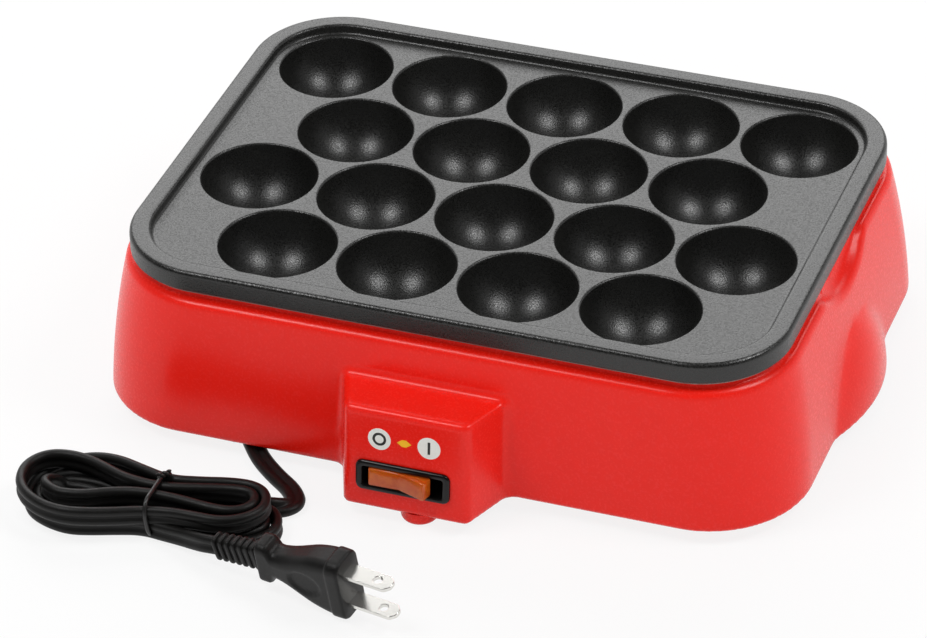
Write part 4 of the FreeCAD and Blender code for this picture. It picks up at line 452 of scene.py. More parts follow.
# Moulded natural nylon: milky white with a soft sheen.
WHITE_NYLON = Finish("white nylon connector", "white_plastic", "#e9e7e0", "#dddbd3", roughness=0.45,
                     grain=0.6, relief=0.005)
# Amber polycarbonate: clear orange that scatters light from the lamp's side.
AMBER = ClearFinish("amber polycarbonate", "amber_lens", "#c64e0e", "#d76a1c", roughness=0.13, spread=0.03,
                    ior=1.46, grain=1.4, relief=0.006, cloud=7.0, transmission=0.25, scatter=0.5)
# Extruded clear vinyl: faintly blue, shows what lies in it.
CLEAR_SLEEVE = ClearFinish("clear vinyl sleeve", "clear_sleeve", "#e8ecee", "#dfe5e8", roughness=0.25,
                           ior=1.52, grain=0.8, relief=0.006, transmission=0.75)
# Blown lamp glass: clear with a faint warm tint and hard highlights.
LAMP_GLASS = ClearFinish("neon lamp glass", "lamp_glass", "#f2ded2", "#eacdbb", roughness=0.08, ior=1.5,
                         grain=0.8, relief=0.003, transmission=0.8)
# Screen-printed ink on the shell: warm white discs, black signs, a yellow mark.
WHITE_INK = Finish("white printing ink", "red_shell", "#e9e9e4", "#dfe0da", roughness=0.4, grain=0.3,
                   relief=0.003)
BLACK_INK = Finish("black printing ink", "red_shell", "#1b1a19", "#242322", roughness=0.4, grain=0.3,
                   relief=0.003)
YELLOW_INK = Finish("yellow printing ink", "red_shell", "#f6bd1a", "#f0b214", roughness=0.4, grain=0.3,
                    relief=0.003)


@dataclass
class Palette:
    """Builds each finish once and hands it out."""

    made: dict[str, bpy.types.Material] = field(default_factory=dict)

    def of(self, finish: Finish) -> bpy.types.Material:
        """Material of a finish.

        Args:
            finish: the finish.

        Returns:
            Its material, built at its first use.
        """
        if finish.name not in self.made:
            self.made[finish.name] = finish.build()
        return self.made[finish.name]


# ---------------------------------------------------------------------- surfaces from distance
def rounded_rectangle_distance(x: np.ndarray, y: np.ndarray, half_x: np.ndarray | float,
                               half_y: np.ndarray | float, corner: np.ndarray | float) -> np.ndarray:
    """Signed distance from a rounded rectangle.

    Args:
        x: places along it.
        y: places across it.
        half_x: half its length.
        half_y: half its width.
        corner: corner radius.

    Returns:
        The distance at each place, negative inside.
    """
    over_x, over_y = np.abs(x) - half_x + corner, np.abs(y) - half_y + corner
    inside = np.minimum(np.maximum(over_x, over_y), 0.0)
    return inside + np.hypot(np.maximum(over_x, 0.0), np.maximum(over_y, 0.0)) - corner


def rounded_and(first: np.ndarray, second: np.ndarray, radius: float) -> np.ndarray:
    """Intersection of two bodies with its edge rounded off."""
    corner = np.hypot(np.maximum(first + radius, 0.0), np.maximum(second + radius, 0.0))
    return np.minimum(-radius, np.maximum(first, second)) + corner


def rounded_or(first: np.ndarray, second: np.ndarray, radius: float) -> np.ndarray:
    """Union of two bodies with a fillet between them."""
    return -rounded_and(-first, -second, radius)


def surface_net(distance: Field, low: Point, high: Point, cell: float) -> tuple[np.ndarray, np.ndarray]:
    """Quads on the surface where a distance is nought.

    Args:
        distance: signed distance in mm, negative inside.
        low: lowest corner of the grid, mm.
        high: highest corner, mm.
        cell: grid spacing, mm.

    Returns:
        Points moved onto the surface, and quads that face outwards.
    """
    axes = [np.arange(a, b + cell, cell) for a, b in zip(low, high)]
    grid = distance(*np.meshgrid(*axes, indexing="ij"))
    shape = tuple(len(axis) - 1 for axis in axes)
    total, count = np.zeros(shape + (3,)), np.zeros(shape)
    corners = [(a, b, c) for a in (0, 1) for b in (0, 1) for c in (0, 1)]

    def at(offset: tuple[int, ...]) -> np.ndarray:
        """Distance at one corner of every cell."""
        return grid[tuple(slice(o, o + s) for o, s in zip(offset, shape))]

    for start in corners:
        for axis in range(3):
            if start[axis]:
                continue
            end = tuple(1 if place == axis else value for place, value in enumerate(start))
            a, b = at(start), at(end)
            crossed = (a < 0) != (b < 0)
            part = np.where(crossed, a / np.where(a == b, 1.0, a - b), 0.0)
            spot = np.stack([np.full(shape, float(value)) for value in start], axis=-1)
            spot[..., axis] = part
            total += np.where(crossed[..., None], spot, 0.0)
            count += crossed
    used = count > 0
    number = np.full(shape, -1)
    number[used] = np.arange(int(used.sum()))
    cells = np.argwhere(used)
    points = (cells + total[used] / count[used][:, None]) * cell + np.array([axis[0] for axis in axes])
    quads = []
    for axis in range(3):
        one, two = (axis + 1) % 3, (axis + 2) % 3
        inner = [slice(1, -1)] * 3
        inner[axis] = slice(0, -1)
        ahead = list(inner)
        ahead[axis] = slice(1, None)
        a, b = grid[tuple(inner)] < 0, grid[tuple(ahead)] < 0
        for sign in (True, False):
            places = np.argwhere((a != b) & (a == sign))
            places[:, one] += 1
            places[:, two] += 1
            ring = []
            for back_one, back_two in ((1, 1), (0, 1), (0, 0), (1, 0)):
                spot = places.copy()
                spot[:, one] -= back_one
                spot[:, two] -= back_two
                ring.append(number[tuple(spot.T)])
            quad = np.stack(ring, axis=1)
            quads.append(quad if sign else quad[:, ::-1])
    return onto_surface(distance, points, cell), np.concatenate(quads)


def slope(distance: Field, points: np.ndarray) -> np.ndarray:
    """Gradient of a distance.

    Args:
        distance: signed distance in mm.
        points: where it is read.

    Returns:
        The gradient at each point.
    """
    step = 0.02
    rise = []
    for axis in range(3):
        ahead, behind = points.copy(), points.copy()
        ahead[:, axis] += step
        behind[:, axis] -= step
        rise.append((distance(*ahead.T) - distance(*behind.T)) / (2 * step))
    return np.stack(rise, axis=1)


def onto_surface(distance: Field, points: np.ndarray, reach: float) -> np.ndarray:
    """Move points onto the surface along the distance's slope.

    Args:
        distance: signed distance in mm.
        points: points near the surface.
        reach: how far a point may move, mm.

    Returns:
        The moved points.
    """
    rounds, flattest = 4, 0.05
    start = points.copy()
    for _ in range(rounds):
        rise = slope(distance, points)
        size = np.maximum((rise ** 2).sum(axis=1, keepdims=True), flattest)
        points = points - distance(*points.T)[:, None] * rise / size
        moved = points - start
        far = np.linalg.norm(moved, axis=1, keepdims=True)
        points = start + moved * np.minimum(1.0, reach / np.maximum(far, 1e-9))
    return points


# ------------------------------------------------------------------------------- the base
@dataclass
class BaseShell:
    """Red moulded base: drafted walls, switch box, grips, finger scoops and the tray's bead.

    Heights are from the floor, other places from the shell's middle, all in mm.
    """

    palette: Palette
    low: float = 5.0
    top: float = 56.0
    levels: tuple[float, float, float] = (5.0, 30.5, 53.8)
    halves_x: tuple[float, float, float] = (124.9, 122.95, 119.04)
    halves_y: tuple[float, float, float] = (94.1, 92.55, 89.04)
    corners: tuple[float, float, float] = (36.0, 37.45, 36.5)
    shoulder: float = 2.2
    wall: float = 2.4
    low_round: float = 1.1
    opening: tuple[float, float, float] = (111.5, 81.4, 26.5)
    opening_round: float = 0.6
    bead: tuple[float, float, float] = (114.5, 84.4, 29.5)
    bead_low: float = 54.5
    bead_top: float = 57.9
    bead_round: float = 0.9
    box_half: float = 21.75
    box_shift: float = 0.8
    box_draft: float = 2.9
    box_flare: float = 22.0     # how far each side turns out towards the wall, in degrees
    box_front: float = -113.5
    box_back: float = -87.4
    box_lean: float = 6.2
    box_top: float = 42.0
    box_edge: float = 2.0
    box_blend: float = 2.6
    grip_height: float = 29.8
    grip_half: float = 30.5
    grip_reach: float = 6.9
    grip_fillet: float = 0.55
    grip_powers: tuple[float, float] = (1.4, 2.8)       # how fully its sides and its front bow out
    grip_least: tuple[float, float] = (0.03, 1.6)       # least share of its width, least depth of its curve
    scoop_radius: float = 37.062
    scoop_axis: float = 85.062
    scoop_back: float = 113.5
    scoop_round: float = 5.0
    scoop_edge: float = 2.7
    switch_hole: tuple[float, float] = (14.9, 4.3)
    switch_place: tuple[float, float] = (-112.14, 17.526)
    hole_back: float = -105.0
    grid: tuple[Point, Point] = ((-134.0, -117.0, 3.0), (134.0, 97.0, 60.5))
    cell: float = 1.2

    def along(self, sizes: Sequence[float], z: np.ndarray) -> np.ndarray:
        """Size of the wall at a height, bowed through its three levels."""
        return np.polyval(np.polyfit(self.levels, sizes, 2), z)

    def grip(self, y: np.ndarray, z: np.ndarray) -> np.ndarray:
        """How far a grip stands out of the end wall.

        Args:
            y: places along the wall.
            z: heights.

        Returns:
            How far it stands out at each place, fading softly to nought.
        """
        side_power, front_power = self.grip_powers
        least_share, least_depth = self.grip_least
        level = np.clip((z - self.low) / self.grip_height, 0.0, 1.25)
        width = self.grip_half * np.sqrt(np.maximum(1 - level ** side_power, least_share))
        reach = self.grip_reach * (1 - level ** front_power)
        arc = reach - np.maximum(reach, least_depth) * (y / width) ** 2
        soft = self.grip_fillet
        return soft * np.log1p(np.exp(np.clip(arc / soft, -40.0, 40.0)))

    def switch_box(self, x: np.ndarray, y: np.ndarray, z: np.ndarray) -> np.ndarray:
        """Distance from the switch box, with its leaning face and flared sides.

        Args:
            x: places along the shell.
            y: places across it.
            z: heights.

        Returns:
            Signed distance at each place, negative inside.
        """
        lean, draft, flare = (math.radians(a) for a in (self.box_lean, self.box_draft, self.box_flare))
        front = -(y - self.box_front) * math.cos(lean) + (z - self.low) * math.sin(lean)
        beside = np.abs(x - self.box_shift) - self.box_half + (z - self.low) * math.tan(draft)
        side = beside * math.cos(flare) - (y - self.box_front) * math.sin(flare)
        box = rounded_and(rounded_and(front, side, self.box_edge), z - self.box_top, self.box_edge)
        return np.maximum(box, y - self.box_back)

    def core(self, x: np.ndarray, y: np.ndarray, z: np.ndarray) -> np.ndarray:
        """Distance from the outer body without its lower face.

        Args:
            x: places along the shell.
            y: places across it.
            z: heights.

        Returns:
            Signed distance at each place, negative inside.
        """
        wall = rounded_rectangle_distance(x, y, self.along(self.halves_x, z) + self.grip(y, z),
                                          self.along(self.halves_y, z), self.along(self.corners, z))
        body = rounded_and(wall, z - self.top, self.shoulder)
        body = rounded_or(body, self.switch_box(x, y, z), self.box_blend)
        dish = np.hypot(y, z - self.scoop_axis) - self.scoop_radius
        scoop = rounded_and(dish, self.scoop_back - np.abs(x), self.scoop_round)
        return rounded_and(body, -scoop, self.scoop_edge)

    def distance(self, x: np.ndarray, y: np.ndarray, z: np.ndarray) -> np.ndarray:
        """Distance from the whole hollow shell, with its bead, its opening and the switch's hole.

        Args:
            x: places along the shell.
            y: places across it.
            z: heights.

        Returns:
            Signed distance at each place, negative inside.
        """
        outer = self.core(x, y, z)
        solid = rounded_and(np.maximum(outer, -(outer + self.wall)), self.low - z, self.low_round)
        bead = rounded_and(rounded_rectangle_distance(x, y, *self.bead), z - self.bead_top, self.bead_round)
        solid = np.minimum(solid, np.maximum(bead, self.bead_low - z))
        opening = rounded_rectangle_distance(x, y, *self.opening)
        solid = rounded_and(solid, -opening, self.opening_round)
        lean = math.radians(self.box_lean)
        up = (y - self.switch_place[0]) * math.sin(lean) + (z - self.switch_place[1]) * math.cos(lean)
        hole = np.maximum(np.abs(x) - self.switch_hole[0], np.abs(up) - self.switch_hole[1])
        return np.maximum(solid, -np.maximum(hole, y - self.hole_back))

    def build(self) -> bpy.types.Object:
        """Make the shell's mesh and dress it.

        Returns:
            The shell.
        """
        points, quads = surface_net(self.distance, *self.grid, self.cell)
        placed = points + np.array([0.0, MIDDLE_Y, 0.0])
        shell = mesh_object("base_shell_moulding", placed.tolist(), quads.tolist())
        return settle(shell, BASE, self.palette.of(RED_PLASTIC), ["base_shell"])


# ----------------------------------------------------------------------------- geometry nodes
def open_tree(name: str, sizes: dict[str, str]) -> tuple[bpy.types.NodeTree, Any]:
    """Start a Geometry Nodes tree with named inputs.

    Args:
        name: name of the tree.
        sizes: kind of each named input, in order.

    Returns:
        The tree, and the sockets of its inputs by name.
    """
    tree = bpy.data.node_groups.new(name, "GeometryNodeTree")
    for label, kind in sizes.items():
        tree.interface.new_socket(label, in_out="INPUT", socket_type="NodeSocket" + kind)
    tree.interface.new_socket("Geometry", in_out="OUTPUT", socket_type="NodeSocketGeometry")
    return tree, add_node(tree, "NodeGroupInput").outputs


def close_tree(tree: bpy.types.NodeTree, placed: bpy.types.NodeSocket,
               material: bpy.types.NodeSocket) -> None:
    """End a tree: its instances are made real and get their material.

    Args:
        tree: the tree.
        placed: the instances.
        material: the input that holds the material.
    """
    real = add_node(tree, "GeometryNodeRealizeInstances", {}, {0: placed}).outputs[0]
    dressed = add_node(tree, "GeometryNodeSetMaterial", {}, {"Geometry": real, "Material": material})
    add_node(tree, "NodeGroupOutput", {}, {"Geometry": dressed.outputs[0]})


def turned_arc_group() -> bpy.types.NodeTree:
    """Node group: part of a turned surface, an arc swept round the vertical axis.

    Returns:
        The group, with named inputs for the arc's centre, its radius and its end angles from straight up.
    """
    group, given = open_tree("turned arc", {
        "Columns": "Int", "Rows": "Int", "Axis Offset": "Float", "Centre Height": "Float",
        "Arc Radius": "Float", "Start Angle": "Float", "End Angle": "Float"})
    grid = add_node(group, "GeometryNodeMeshGrid", {"[Size X]": 1.0, "[Size Y]": 1.0}, {
        "Vertices X": given["Columns"], "Vertices Y": given["Rows"]}).outputs["Mesh"]
    spot = add_node(group, "ShaderNodeSeparateXYZ", {}, {
        0: add_node(group, "GeometryNodeInputPosition").outputs[0]}).outputs
    swing = add_node(group, "ShaderNodeMapRange", {"[From Min]": -0.5, "[From Max]": 0.5}, {
        "Value": spot["Y"], "To Min": given["Start Angle"], "To Max": given["End Angle"]}).outputs[0]
    turn = add_node(group, "ShaderNodeMapRange", {
        "[From Min]": -0.5, "[From Max]": 0.5, "[To Max]": 2 * math.pi}, {"Value": spot["X"]}).outputs[0]
    arm = add_node(group, "ShaderNodeVectorRotate", {"rotation_type": "Y_AXIS"}, {
        "Vector": add_node(group, "ShaderNodeCombineXYZ", {}, {"Z": given["Arc Radius"]}).outputs[0],
        "Angle": swing}).outputs[0]
    centre = add_node(group, "ShaderNodeCombineXYZ", {}, {
        "X": given["Axis Offset"], "Z": given["Centre Height"]}).outputs[0]
    placed = add_node(group, "ShaderNodeVectorRotate", {"rotation_type": "Z_AXIS"}, {
        "Vector": add_node(group, "ShaderNodeVectorMath", {}, {0: arm, 1: centre}).outputs[0],
        "Angle": turn}).outputs[0]
    moved = add_node(group, "GeometryNodeSetPosition", {}, {"Geometry": grid, "Position": placed})
    merged = add_node(group, "GeometryNodeMergeByDistance", {"[Distance]": 1e-6}, {
        "Geometry": moved.outputs[0]})
    add_node(group, "NodeGroupOutput", {}, {"Geometry": merged.outputs[0]})
    return group


def evaluate_tree(tree: bpy.types.NodeTree, sizes: dict[str, Any]) -> Shape:
    """Shape that a Geometry Nodes tree makes.

    Args:
        tree: tree with named inputs.
        sizes: value of each named input.

    Returns:
        Points and faces; the object that carried the tree is gone.
    """
    carrier = linked(tree.name, bpy.data.meshes.new(tree.name))
    modifier = carrier.modifiers.new("tree", "NODES")
    modifier.node_group = tree
    for item in tree.interface.items_tree:
        if item.item_type == "SOCKET" and item.in_out == "INPUT" and item.name in sizes:
            modifier[item.identifier] = sizes[item.name]
    mesh = evaluated_mesh(carrier)
    carrier.modifiers.remove(modifier)
    bpy.data.objects.remove(carrier)
    points = [tuple(c / MM for c in vertex.co) for vertex in mesh.vertices]
    faces = [tuple(face.vertices) for face in mesh.polygons]
    bpy.data.meshes.remove(mesh)
    return points, faces


# ------------------------------------------------------------------------------- the plate
@dataclass
class CookingPlate:
    """Lift-off cast plate with rows of bowls, a raised rim and a skirt.

    Sizes are in mm, from the plate's middle and from the top of its field. The rim's profile holds how far
    it lies inside the outer edge and its height, from the field over the rim and round to the underside.
    """

    palette: Palette
    pitch: float = 43.0
    row_pitch: float = 37.2391
    long_count: int = 5
    short_count: int = 4
    bowl_radius: float = 20.238
    bowl_centre: float = 1.238
    lip: float = 0.9
    wall: float = 2.0
    dome_inset: float = 0.8
    half_x: float = 116.5
    half_y: float = 86.4
    corner: float = 31.5
    field_z: float = 63.0
    field_thickness: float = 2.4
    segments: int = 64
    bowl_rows: int = 23
    lip_rows: int = 6
    dome_rows: int = 17
    edge_steps: tuple[int, int] = (24, 12)      # round each corner, along each side
    rim_profile: tuple[tuple[float, float], ...] = (
        (9.3, 0.0), (8.5, 0.08), (7.95, 0.34), (7.6, 0.8), (7.4, 1.35), (7.2, 2.3), (7.02, 2.72), (6.7, 3.04),
        (6.25, 3.23), (5.7, 3.3), (1.7, 3.3), (1.15, 3.22), (0.66, 2.98), (0.28, 2.6), (0.07, 2.1),
        (0.0, 1.55), (0.0, -3.5), (0.08, -3.85), (0.3, -4.12), (0.65, -4.28), (1.0, -4.3), (1.75, -4.3),
        (2.1, -4.22), (2.34, -4.0), (2.4, -3.7), (2.4, -3.0), (2.55, -2.65), (2.9, -2.45), (3.4, -2.4))

    def lip_place(self) -> tuple[float, float]:
        """Radius of the lip's circle round the bowl, and the angle at which it meets the bowl."""
        reach, rise = self.bowl_radius + self.lip, self.bowl_centre + self.lip
        return math.sqrt(reach ** 2 - rise ** 2), math.acos(rise / reach)

    def dome_radius(self) -> float:
        """Radius at which a dome leaves the plate's underside."""
        outer, drop = self.bowl_radius + self.wall, self.bowl_centre + self.field_thickness
        return math.sqrt(outer ** 2 - drop ** 2) - self.dome_inset

    def edge(self, inset: float) -> list[tuple[float, float]]:
        """Outline of the plate, drawn in by an inset."""
        return rounded_outline(self.half_x - inset, self.half_y - inset, self.corner - inset,
                               *self.edge_steps)

    def centres(self) -> list[tuple[float, float]]:
        """Middles of the bowls, from the plate's middle.

        Returns:
            The middles, row by row from the back.
        """
        places = []
        for row, y in enumerate((1.5, 0.5, -0.5, -1.5)):
            count = self.short_count if row % 2 else self.long_count
            left = (count - 1) / 2
            places += [((column - left) * self.pitch, y * self.row_pitch) for column in range(count)]
        return places

    def bowl_tree(self) -> bpy.types.NodeTree:
        """Geometry Nodes tree that sets out the rows of bowls and the domes under them.

        Returns:
            The tree.
        """
        tree, given = open_tree("bowl rows", {
            "Columns": "Int", "Pitch": "Float", "Row Pitch": "Float", "Long Count": "Int",
            "Short Count": "Int", "Bowl Radius": "Float", "Bowl Centre": "Float", "Bowl End": "Float",
            "Lip Offset": "Float", "Lip Centre": "Float", "Lip Radius": "Float", "Lip Start": "Float",
            "Dome Offset": "Float", "Dome Radius": "Float", "Dome Start": "Float", "Dome End": "Float",
            "Material": "Material"})
        turned = {"node_tree": turned_arc_group()}
        bowl = add_node(tree, "GeometryNodeGroup", {
            **turned, "[Rows]": self.bowl_rows, "[Start Angle]": math.pi}, {
            "Columns": given["Columns"], "Centre Height": given["Bowl Centre"],
            "Arc Radius": given["Bowl Radius"], "End Angle": given["Bowl End"]})
        lip = add_node(tree, "GeometryNodeGroup", {**turned, "[Rows]": self.lip_rows, "[End Angle]": 0.0}, {
            "Columns": given["Columns"], "Axis Offset": given["Lip Offset"],
            "Centre Height": given["Lip Centre"], "Arc Radius": given["Lip Radius"],
            "Start Angle": given["Lip Start"]})
        dome = add_node(tree, "GeometryNodeGroup", {**turned, "[Rows]": self.dome_rows}, {
            "Columns": given["Columns"], "Axis Offset": given["Dome Offset"],
            "Centre Height": given["Bowl Centre"], "Arc Radius": given["Dome Radius"],
            "Start Angle": given["Dome Start"], "End Angle": given["Dome End"]})
        cup = add_node(tree, "GeometryNodeJoinGeometry")
        for part in (dome, lip, bowl):
            tree.links.new(part.outputs[0], cup.inputs[0])
        rows = add_node(tree, "GeometryNodeJoinGeometry")
        apart = add_node(tree, "ShaderNodeMath", {"operation": "MULTIPLY", 1: 2.0}, {0: given["Row Pitch"]})
        for count, shift in (("Long Count", 0.5), ("Short Count", -0.5)):
            gaps = add_node(tree, "ShaderNodeMath", {"operation": "SUBTRACT", 1: 1.0}, {0: given[count]})
            length = add_node(tree, "ShaderNodeMath", {"operation": "MULTIPLY"}, {
                0: gaps.outputs[0], 1: given["Pitch"]})
            grid = add_node(tree, "GeometryNodeMeshGrid", {"[Vertices Y]": 2}, {
                "Size X": length.outputs[0], "Size Y": apart.outputs[0], "Vertices X": given[count]})
            across = add_node(tree, "ShaderNodeMath", {"operation": "MULTIPLY", 1: shift}, {
                0: given["Row Pitch"]})
            offset = add_node(tree, "ShaderNodeCombineXYZ", {}, {"Y": across.outputs[0]})
            moved = add_node(tree, "GeometryNodeTransform", {}, {
                "Geometry": grid.outputs[0], "Translation": offset.outputs[0]})
            tree.links.new(moved.outputs[0], rows.inputs[0])
        placed = add_node(tree, "GeometryNodeInstanceOnPoints", {}, {
            "Points": rows.outputs[0], "Instance": cup.outputs[0]}).outputs[0]
        close_tree(tree, placed, given["Material"])
        return tree

    def bowls(self, material: bpy.types.Material) -> Shape:
        """All bowls and domes, about the plate's middle at its field.

        Args:
            material: the plate's material.

        Returns:
            Points and faces.
        """
        lip_offset, angle = self.lip_place()
        outer = self.bowl_radius + self.wall
        end = math.acos((self.bowl_centre + self.field_thickness) / outer)
        lengths = {"Pitch": self.pitch, "Row Pitch": self.row_pitch, "Bowl Radius": self.bowl_radius,
                   "Bowl Centre": self.bowl_centre, "Lip Offset": lip_offset, "Lip Centre": -self.lip,
                   "Lip Radius": self.lip, "Dome Offset": -self.dome_inset, "Dome Radius": outer}
        return evaluate_tree(self.bowl_tree(), {
            **{name: length * MM for name, length in lengths.items()}, "Columns": self.segments + 1,
            "Long Count": self.long_count, "Short Count": self.short_count, "Bowl End": math.pi - angle,
            "Lip Start": -angle, "Dome Start": math.pi - math.asin(self.dome_inset / outer),
            "Dome End": math.pi - end, "Material": material})

    def flat(self, inset: float, hole: float, z: float) -> Shape:
        """Flat of the field, with a round hole for each bowl.

        Args:
            inset: how far its edge lies inside the plate's.
            hole: radius of the holes.
            z: height over the field.

        Returns:
            Points and triangles.
        """
        spots, edges = [], []
        for loop in [self.edge(inset), *(circle(x, y, hole, self.segments) for x, y in self.centres())]:
            start = len(spots)
            spots += [Vector(point) for point in loop]
            edges += [(start + step, start + (step + 1) % len(loop)) for step in range(len(loop))]
        found, _, triangles, *_ = delaunay_2d_cdt(spots, edges, [], 0, 1e-6)
        kept = []
        for triangle in triangles:
            middle = sum((found[corner] for corner in triangle), Vector((0.0, 0.0))) / 3
            clear = all((middle - Vector(centre)).length > hole * 0.9999 for centre in self.centres())
            reach = rounded_rectangle_distance(np.array(middle.x), np.array(middle.y), self.half_x - inset,
                                               self.half_y - inset, self.corner - inset)
            if clear and float(reach) < 0.001:
                kept.append(tuple(triangle))
        return [(point.x, point.y, z) for point in found], kept

    def build(self) -> bpy.types.Object:
        """Make the plate as one closed mesh and dress it.

        Returns:
            The plate.
        """
        material = self.palette.of(NON_STICK)
        rings = [[(x, y, z) for x, y in self.edge(inset)] for inset, z in self.rim_profile]
        points, faces = joined([
            bridge(rings), self.flat(self.rim_profile[0][0], self.lip_place()[0], 0.0),
            self.flat(self.rim_profile[-1][0], self.dome_radius(), -self.field_thickness),
            self.bowls(material)])
        raised = [(x, y + MIDDLE_Y, z + self.field_z) for x, y, z in points]
        plate = tidy_mesh(mesh_object("cooking_plate_casting", raised, faces), 0.02)
        self.smooth_flats(plate)
        return settle(plate, PLATE, material, ["takoyaki_plate"])

    @staticmethod
    def smooth_flats(plate: bpy.types.Object) -> None:
        """Weight the normals by area, so that the field stays flat up to its rounded edges.

        Args:
            plate: the plate.
        """
        modifier = plate.modifiers.new("weighted", "WEIGHTED_NORMAL")
        modifier.keep_sharp = True
        modifier.weight = 100


# ------------------------------------------------------------------------------- the switch
@dataclass
class SwitchUnit:
    """Rocker switch on the leaning face, with the printed signs above it."""

    palette: Palette
    lean: float = 6.2           # of the face, degrees
    place: tuple[float, float] = (-100.113, 17.526)     # middle of the switch on the face, in the frame
    bezel_half: tuple[float, float] = (16.5, 5.5)
    bezel_stand: float = 1.2
    window_half: tuple[float, float] = (14.2, 3.6)
    recess: float = 12.0
    body_half: tuple[float, float] = (15.2, 4.6)
    body_depth: float = 15.0
    outline_steps: tuple[int, int] = (8, 4)     # round each corner, along each side
    rocker_half: tuple[float, float] = (10.7, 3.2)
    rocker_tip: float = 3.384                   # how far the rocker's ends stand out before it tilts
    rocker_crest: float = 1.4                   # how far its middle does, before its rounding
    pivot: float = -5.1
    throw: float = 20.0
    sign_radius: float = 4.02
    sign_spread: float = 8.7
    sign_place: tuple[float, float] = (0.3, 14.25)
    off_shares: tuple[float, float] = (0.6, 0.38)       # ring of the off sign, in disc radii
    on_bar: tuple[tuple[float, float], ...] = ((-0.45, -2.3), (0.45, -2.3), (0.45, 2.3), (-0.45, 2.3))
    way: tuple[tuple[float, float], ...] = (
        (-2.55, 0.0), (-0.75, -1.3), (0.75, -1.3), (2.55, 0.0), (0.75, 1.3), (-0.75, 1.3))
    print_sunk: float = 0.05                    # how deep the print starts in the face
    print_out: float = 0.05                     # how far a first layer stands out of it
    sign_out: float = 0.08                      # and a second one

    def on_face(self, x: float, up: float, out: float) -> Point:
        """Point in the frame from a place on the leaning face.

        Args:
            x: place along the face.
            up: place up the face.
            out: distance out of the face.

        Returns:
            The point, mm.
        """
        lean = math.radians(self.lean)
        y, z = self.place
        return (x, y + up * math.sin(lean) - out * math.cos(lean),
                z + up * math.cos(lean) + out * math.sin(lean))

    def face_ring(self, half_x: float, half_up: float, corner: float, out: float) -> list[Point]:
        """Rounded outline at a distance out of the face."""
        outline = rounded_outline(half_x, half_up, corner, *self.outline_steps)
        return [self.on_face(x, up, out) for x, up in outline]

    def housing(self) -> bpy.types.Object:
        """Bezel with rounded edges, its recess and the body behind it.

        Returns:
            The housing.
        """
        outer, inner = self.bezel_half, self.window_half
        # half sizes, how much they grow, distance out of the face, corner radius
        steps = ((outer, 0.0, 0.02, 2.4), (outer, 0.0, 0.55, 2.4), (outer, -0.16, 0.93, 2.3),
                 (outer, -0.5, 1.16, 2.1), (outer, -0.8, self.bezel_stand, 1.9),
                 (inner, 0.35, self.bezel_stand, 1.2), (inner, 0.1, 1.08, 1.0), (inner, 0.0, 0.8, 0.9),
                 (inner, 0.0, -self.recess, 0.9))
        rings = [self.face_ring(*self.body_half, 0.8, out) for out in (-self.body_depth, 0.02)]
        rings += [self.face_ring(x + grow, up + grow, corner, out) for (x, up), grow, out, corner in steps]
        points, faces = capped(rings, self.on_face(0.0, 0.0, -self.body_depth),
                               self.on_face(0.0, 0.0, -self.recess))
        unit = tidy_mesh(mesh_object("switch_bezel", points, faces), crease=40)
        return settle(unit, BASE, self.palette.of(BLACK_PLASTIC), ["switch_housing"])

    def rocker(self) -> bpy.types.Object:
        """Amber rocker: two faces that meet in a shallow V, tilted to off.

        Returns:
            The rocker.
        """
        half, up = self.rocker_half
        tip, crest = self.rocker_tip, self.rocker_crest
        # side view: place along the face, distance out of it
        profile = [(-half, -1.0), (-half, tip - 0.6), (-half + 0.25, tip - 0.12), (-half + 0.8, tip),
                   (-1.1, crest + 0.28), (0.0, crest + 0.1), (1.1, crest + 0.28), (half - 0.8, tip),
                   (half - 0.25, tip - 0.12), (half, tip - 0.6), (half, -1.0), (3.0, -3.4), (2.4, -6.6),
                   (0.0, -8.1), (-2.4, -6.6), (-3.0, -3.4)]
        rings = []
        for width, shrink in ((-up, 0.45), (-up + 0.12, 0.14), (-up + 0.45, 0.0), (up - 0.45, 0.0),
                              (up - 0.12, 0.14), (up, 0.45)):
            ring = []
            for x, out in profile:
                near = 1 - shrink / (math.hypot(x, out - self.pivot) or 1.0)
                ring.append((x * near, width, self.pivot + (out - self.pivot) * near))
            rings.append(ring)
        points, faces = capped(rings, (0.0, -up, self.pivot), (0.0, up, self.pivot))
        tilt = Matrix.Rotation(math.radians(-self.throw / 2), 3, Vector((0, 1, 0)))
        pivot = Vector((0.0, 0.0, self.pivot))
        turned = [self.on_face(*(tilt @ (Vector(point) - pivot) + pivot)) for point in points]
        piece = tidy_mesh(mesh_object("rocker_lens", turned, faces), crease=50)
        return settle(piece, ROCKER, self.palette.of(AMBER), ["switch_rocker"])

    def ink(self, name: str, loops: Sequence[Sequence[tuple[float, float]]], finish: Finish,
            out: float) -> bpy.types.Object:
        """Thin printed layer on the face.

        Args:
            name: name of the piece.
            loops: one outline, or an outer and an inner one of as many points.
            finish: the ink.
            out: how far its face stands out, mm.

        Returns:
            The piece.
        """
        outer = loops[0]
        middle = tuple(sum(values) / len(outer) for values in zip(*outer))
        inner = loops[1] if len(loops) > 1 else [middle] * len(outer)
        layers = ((inner, -self.print_sunk), (outer, -self.print_sunk), (outer, out), (inner, out))
        rings = [[self.on_face(x, up, height) for x, up in loop] for loop, height in layers]
        points, faces = bridge(rings, closed=True)
        piece = tidy_mesh(mesh_object(name, points, faces, smooth=False), 0.001)
        return settle(piece, BASE, self.palette.of(finish))

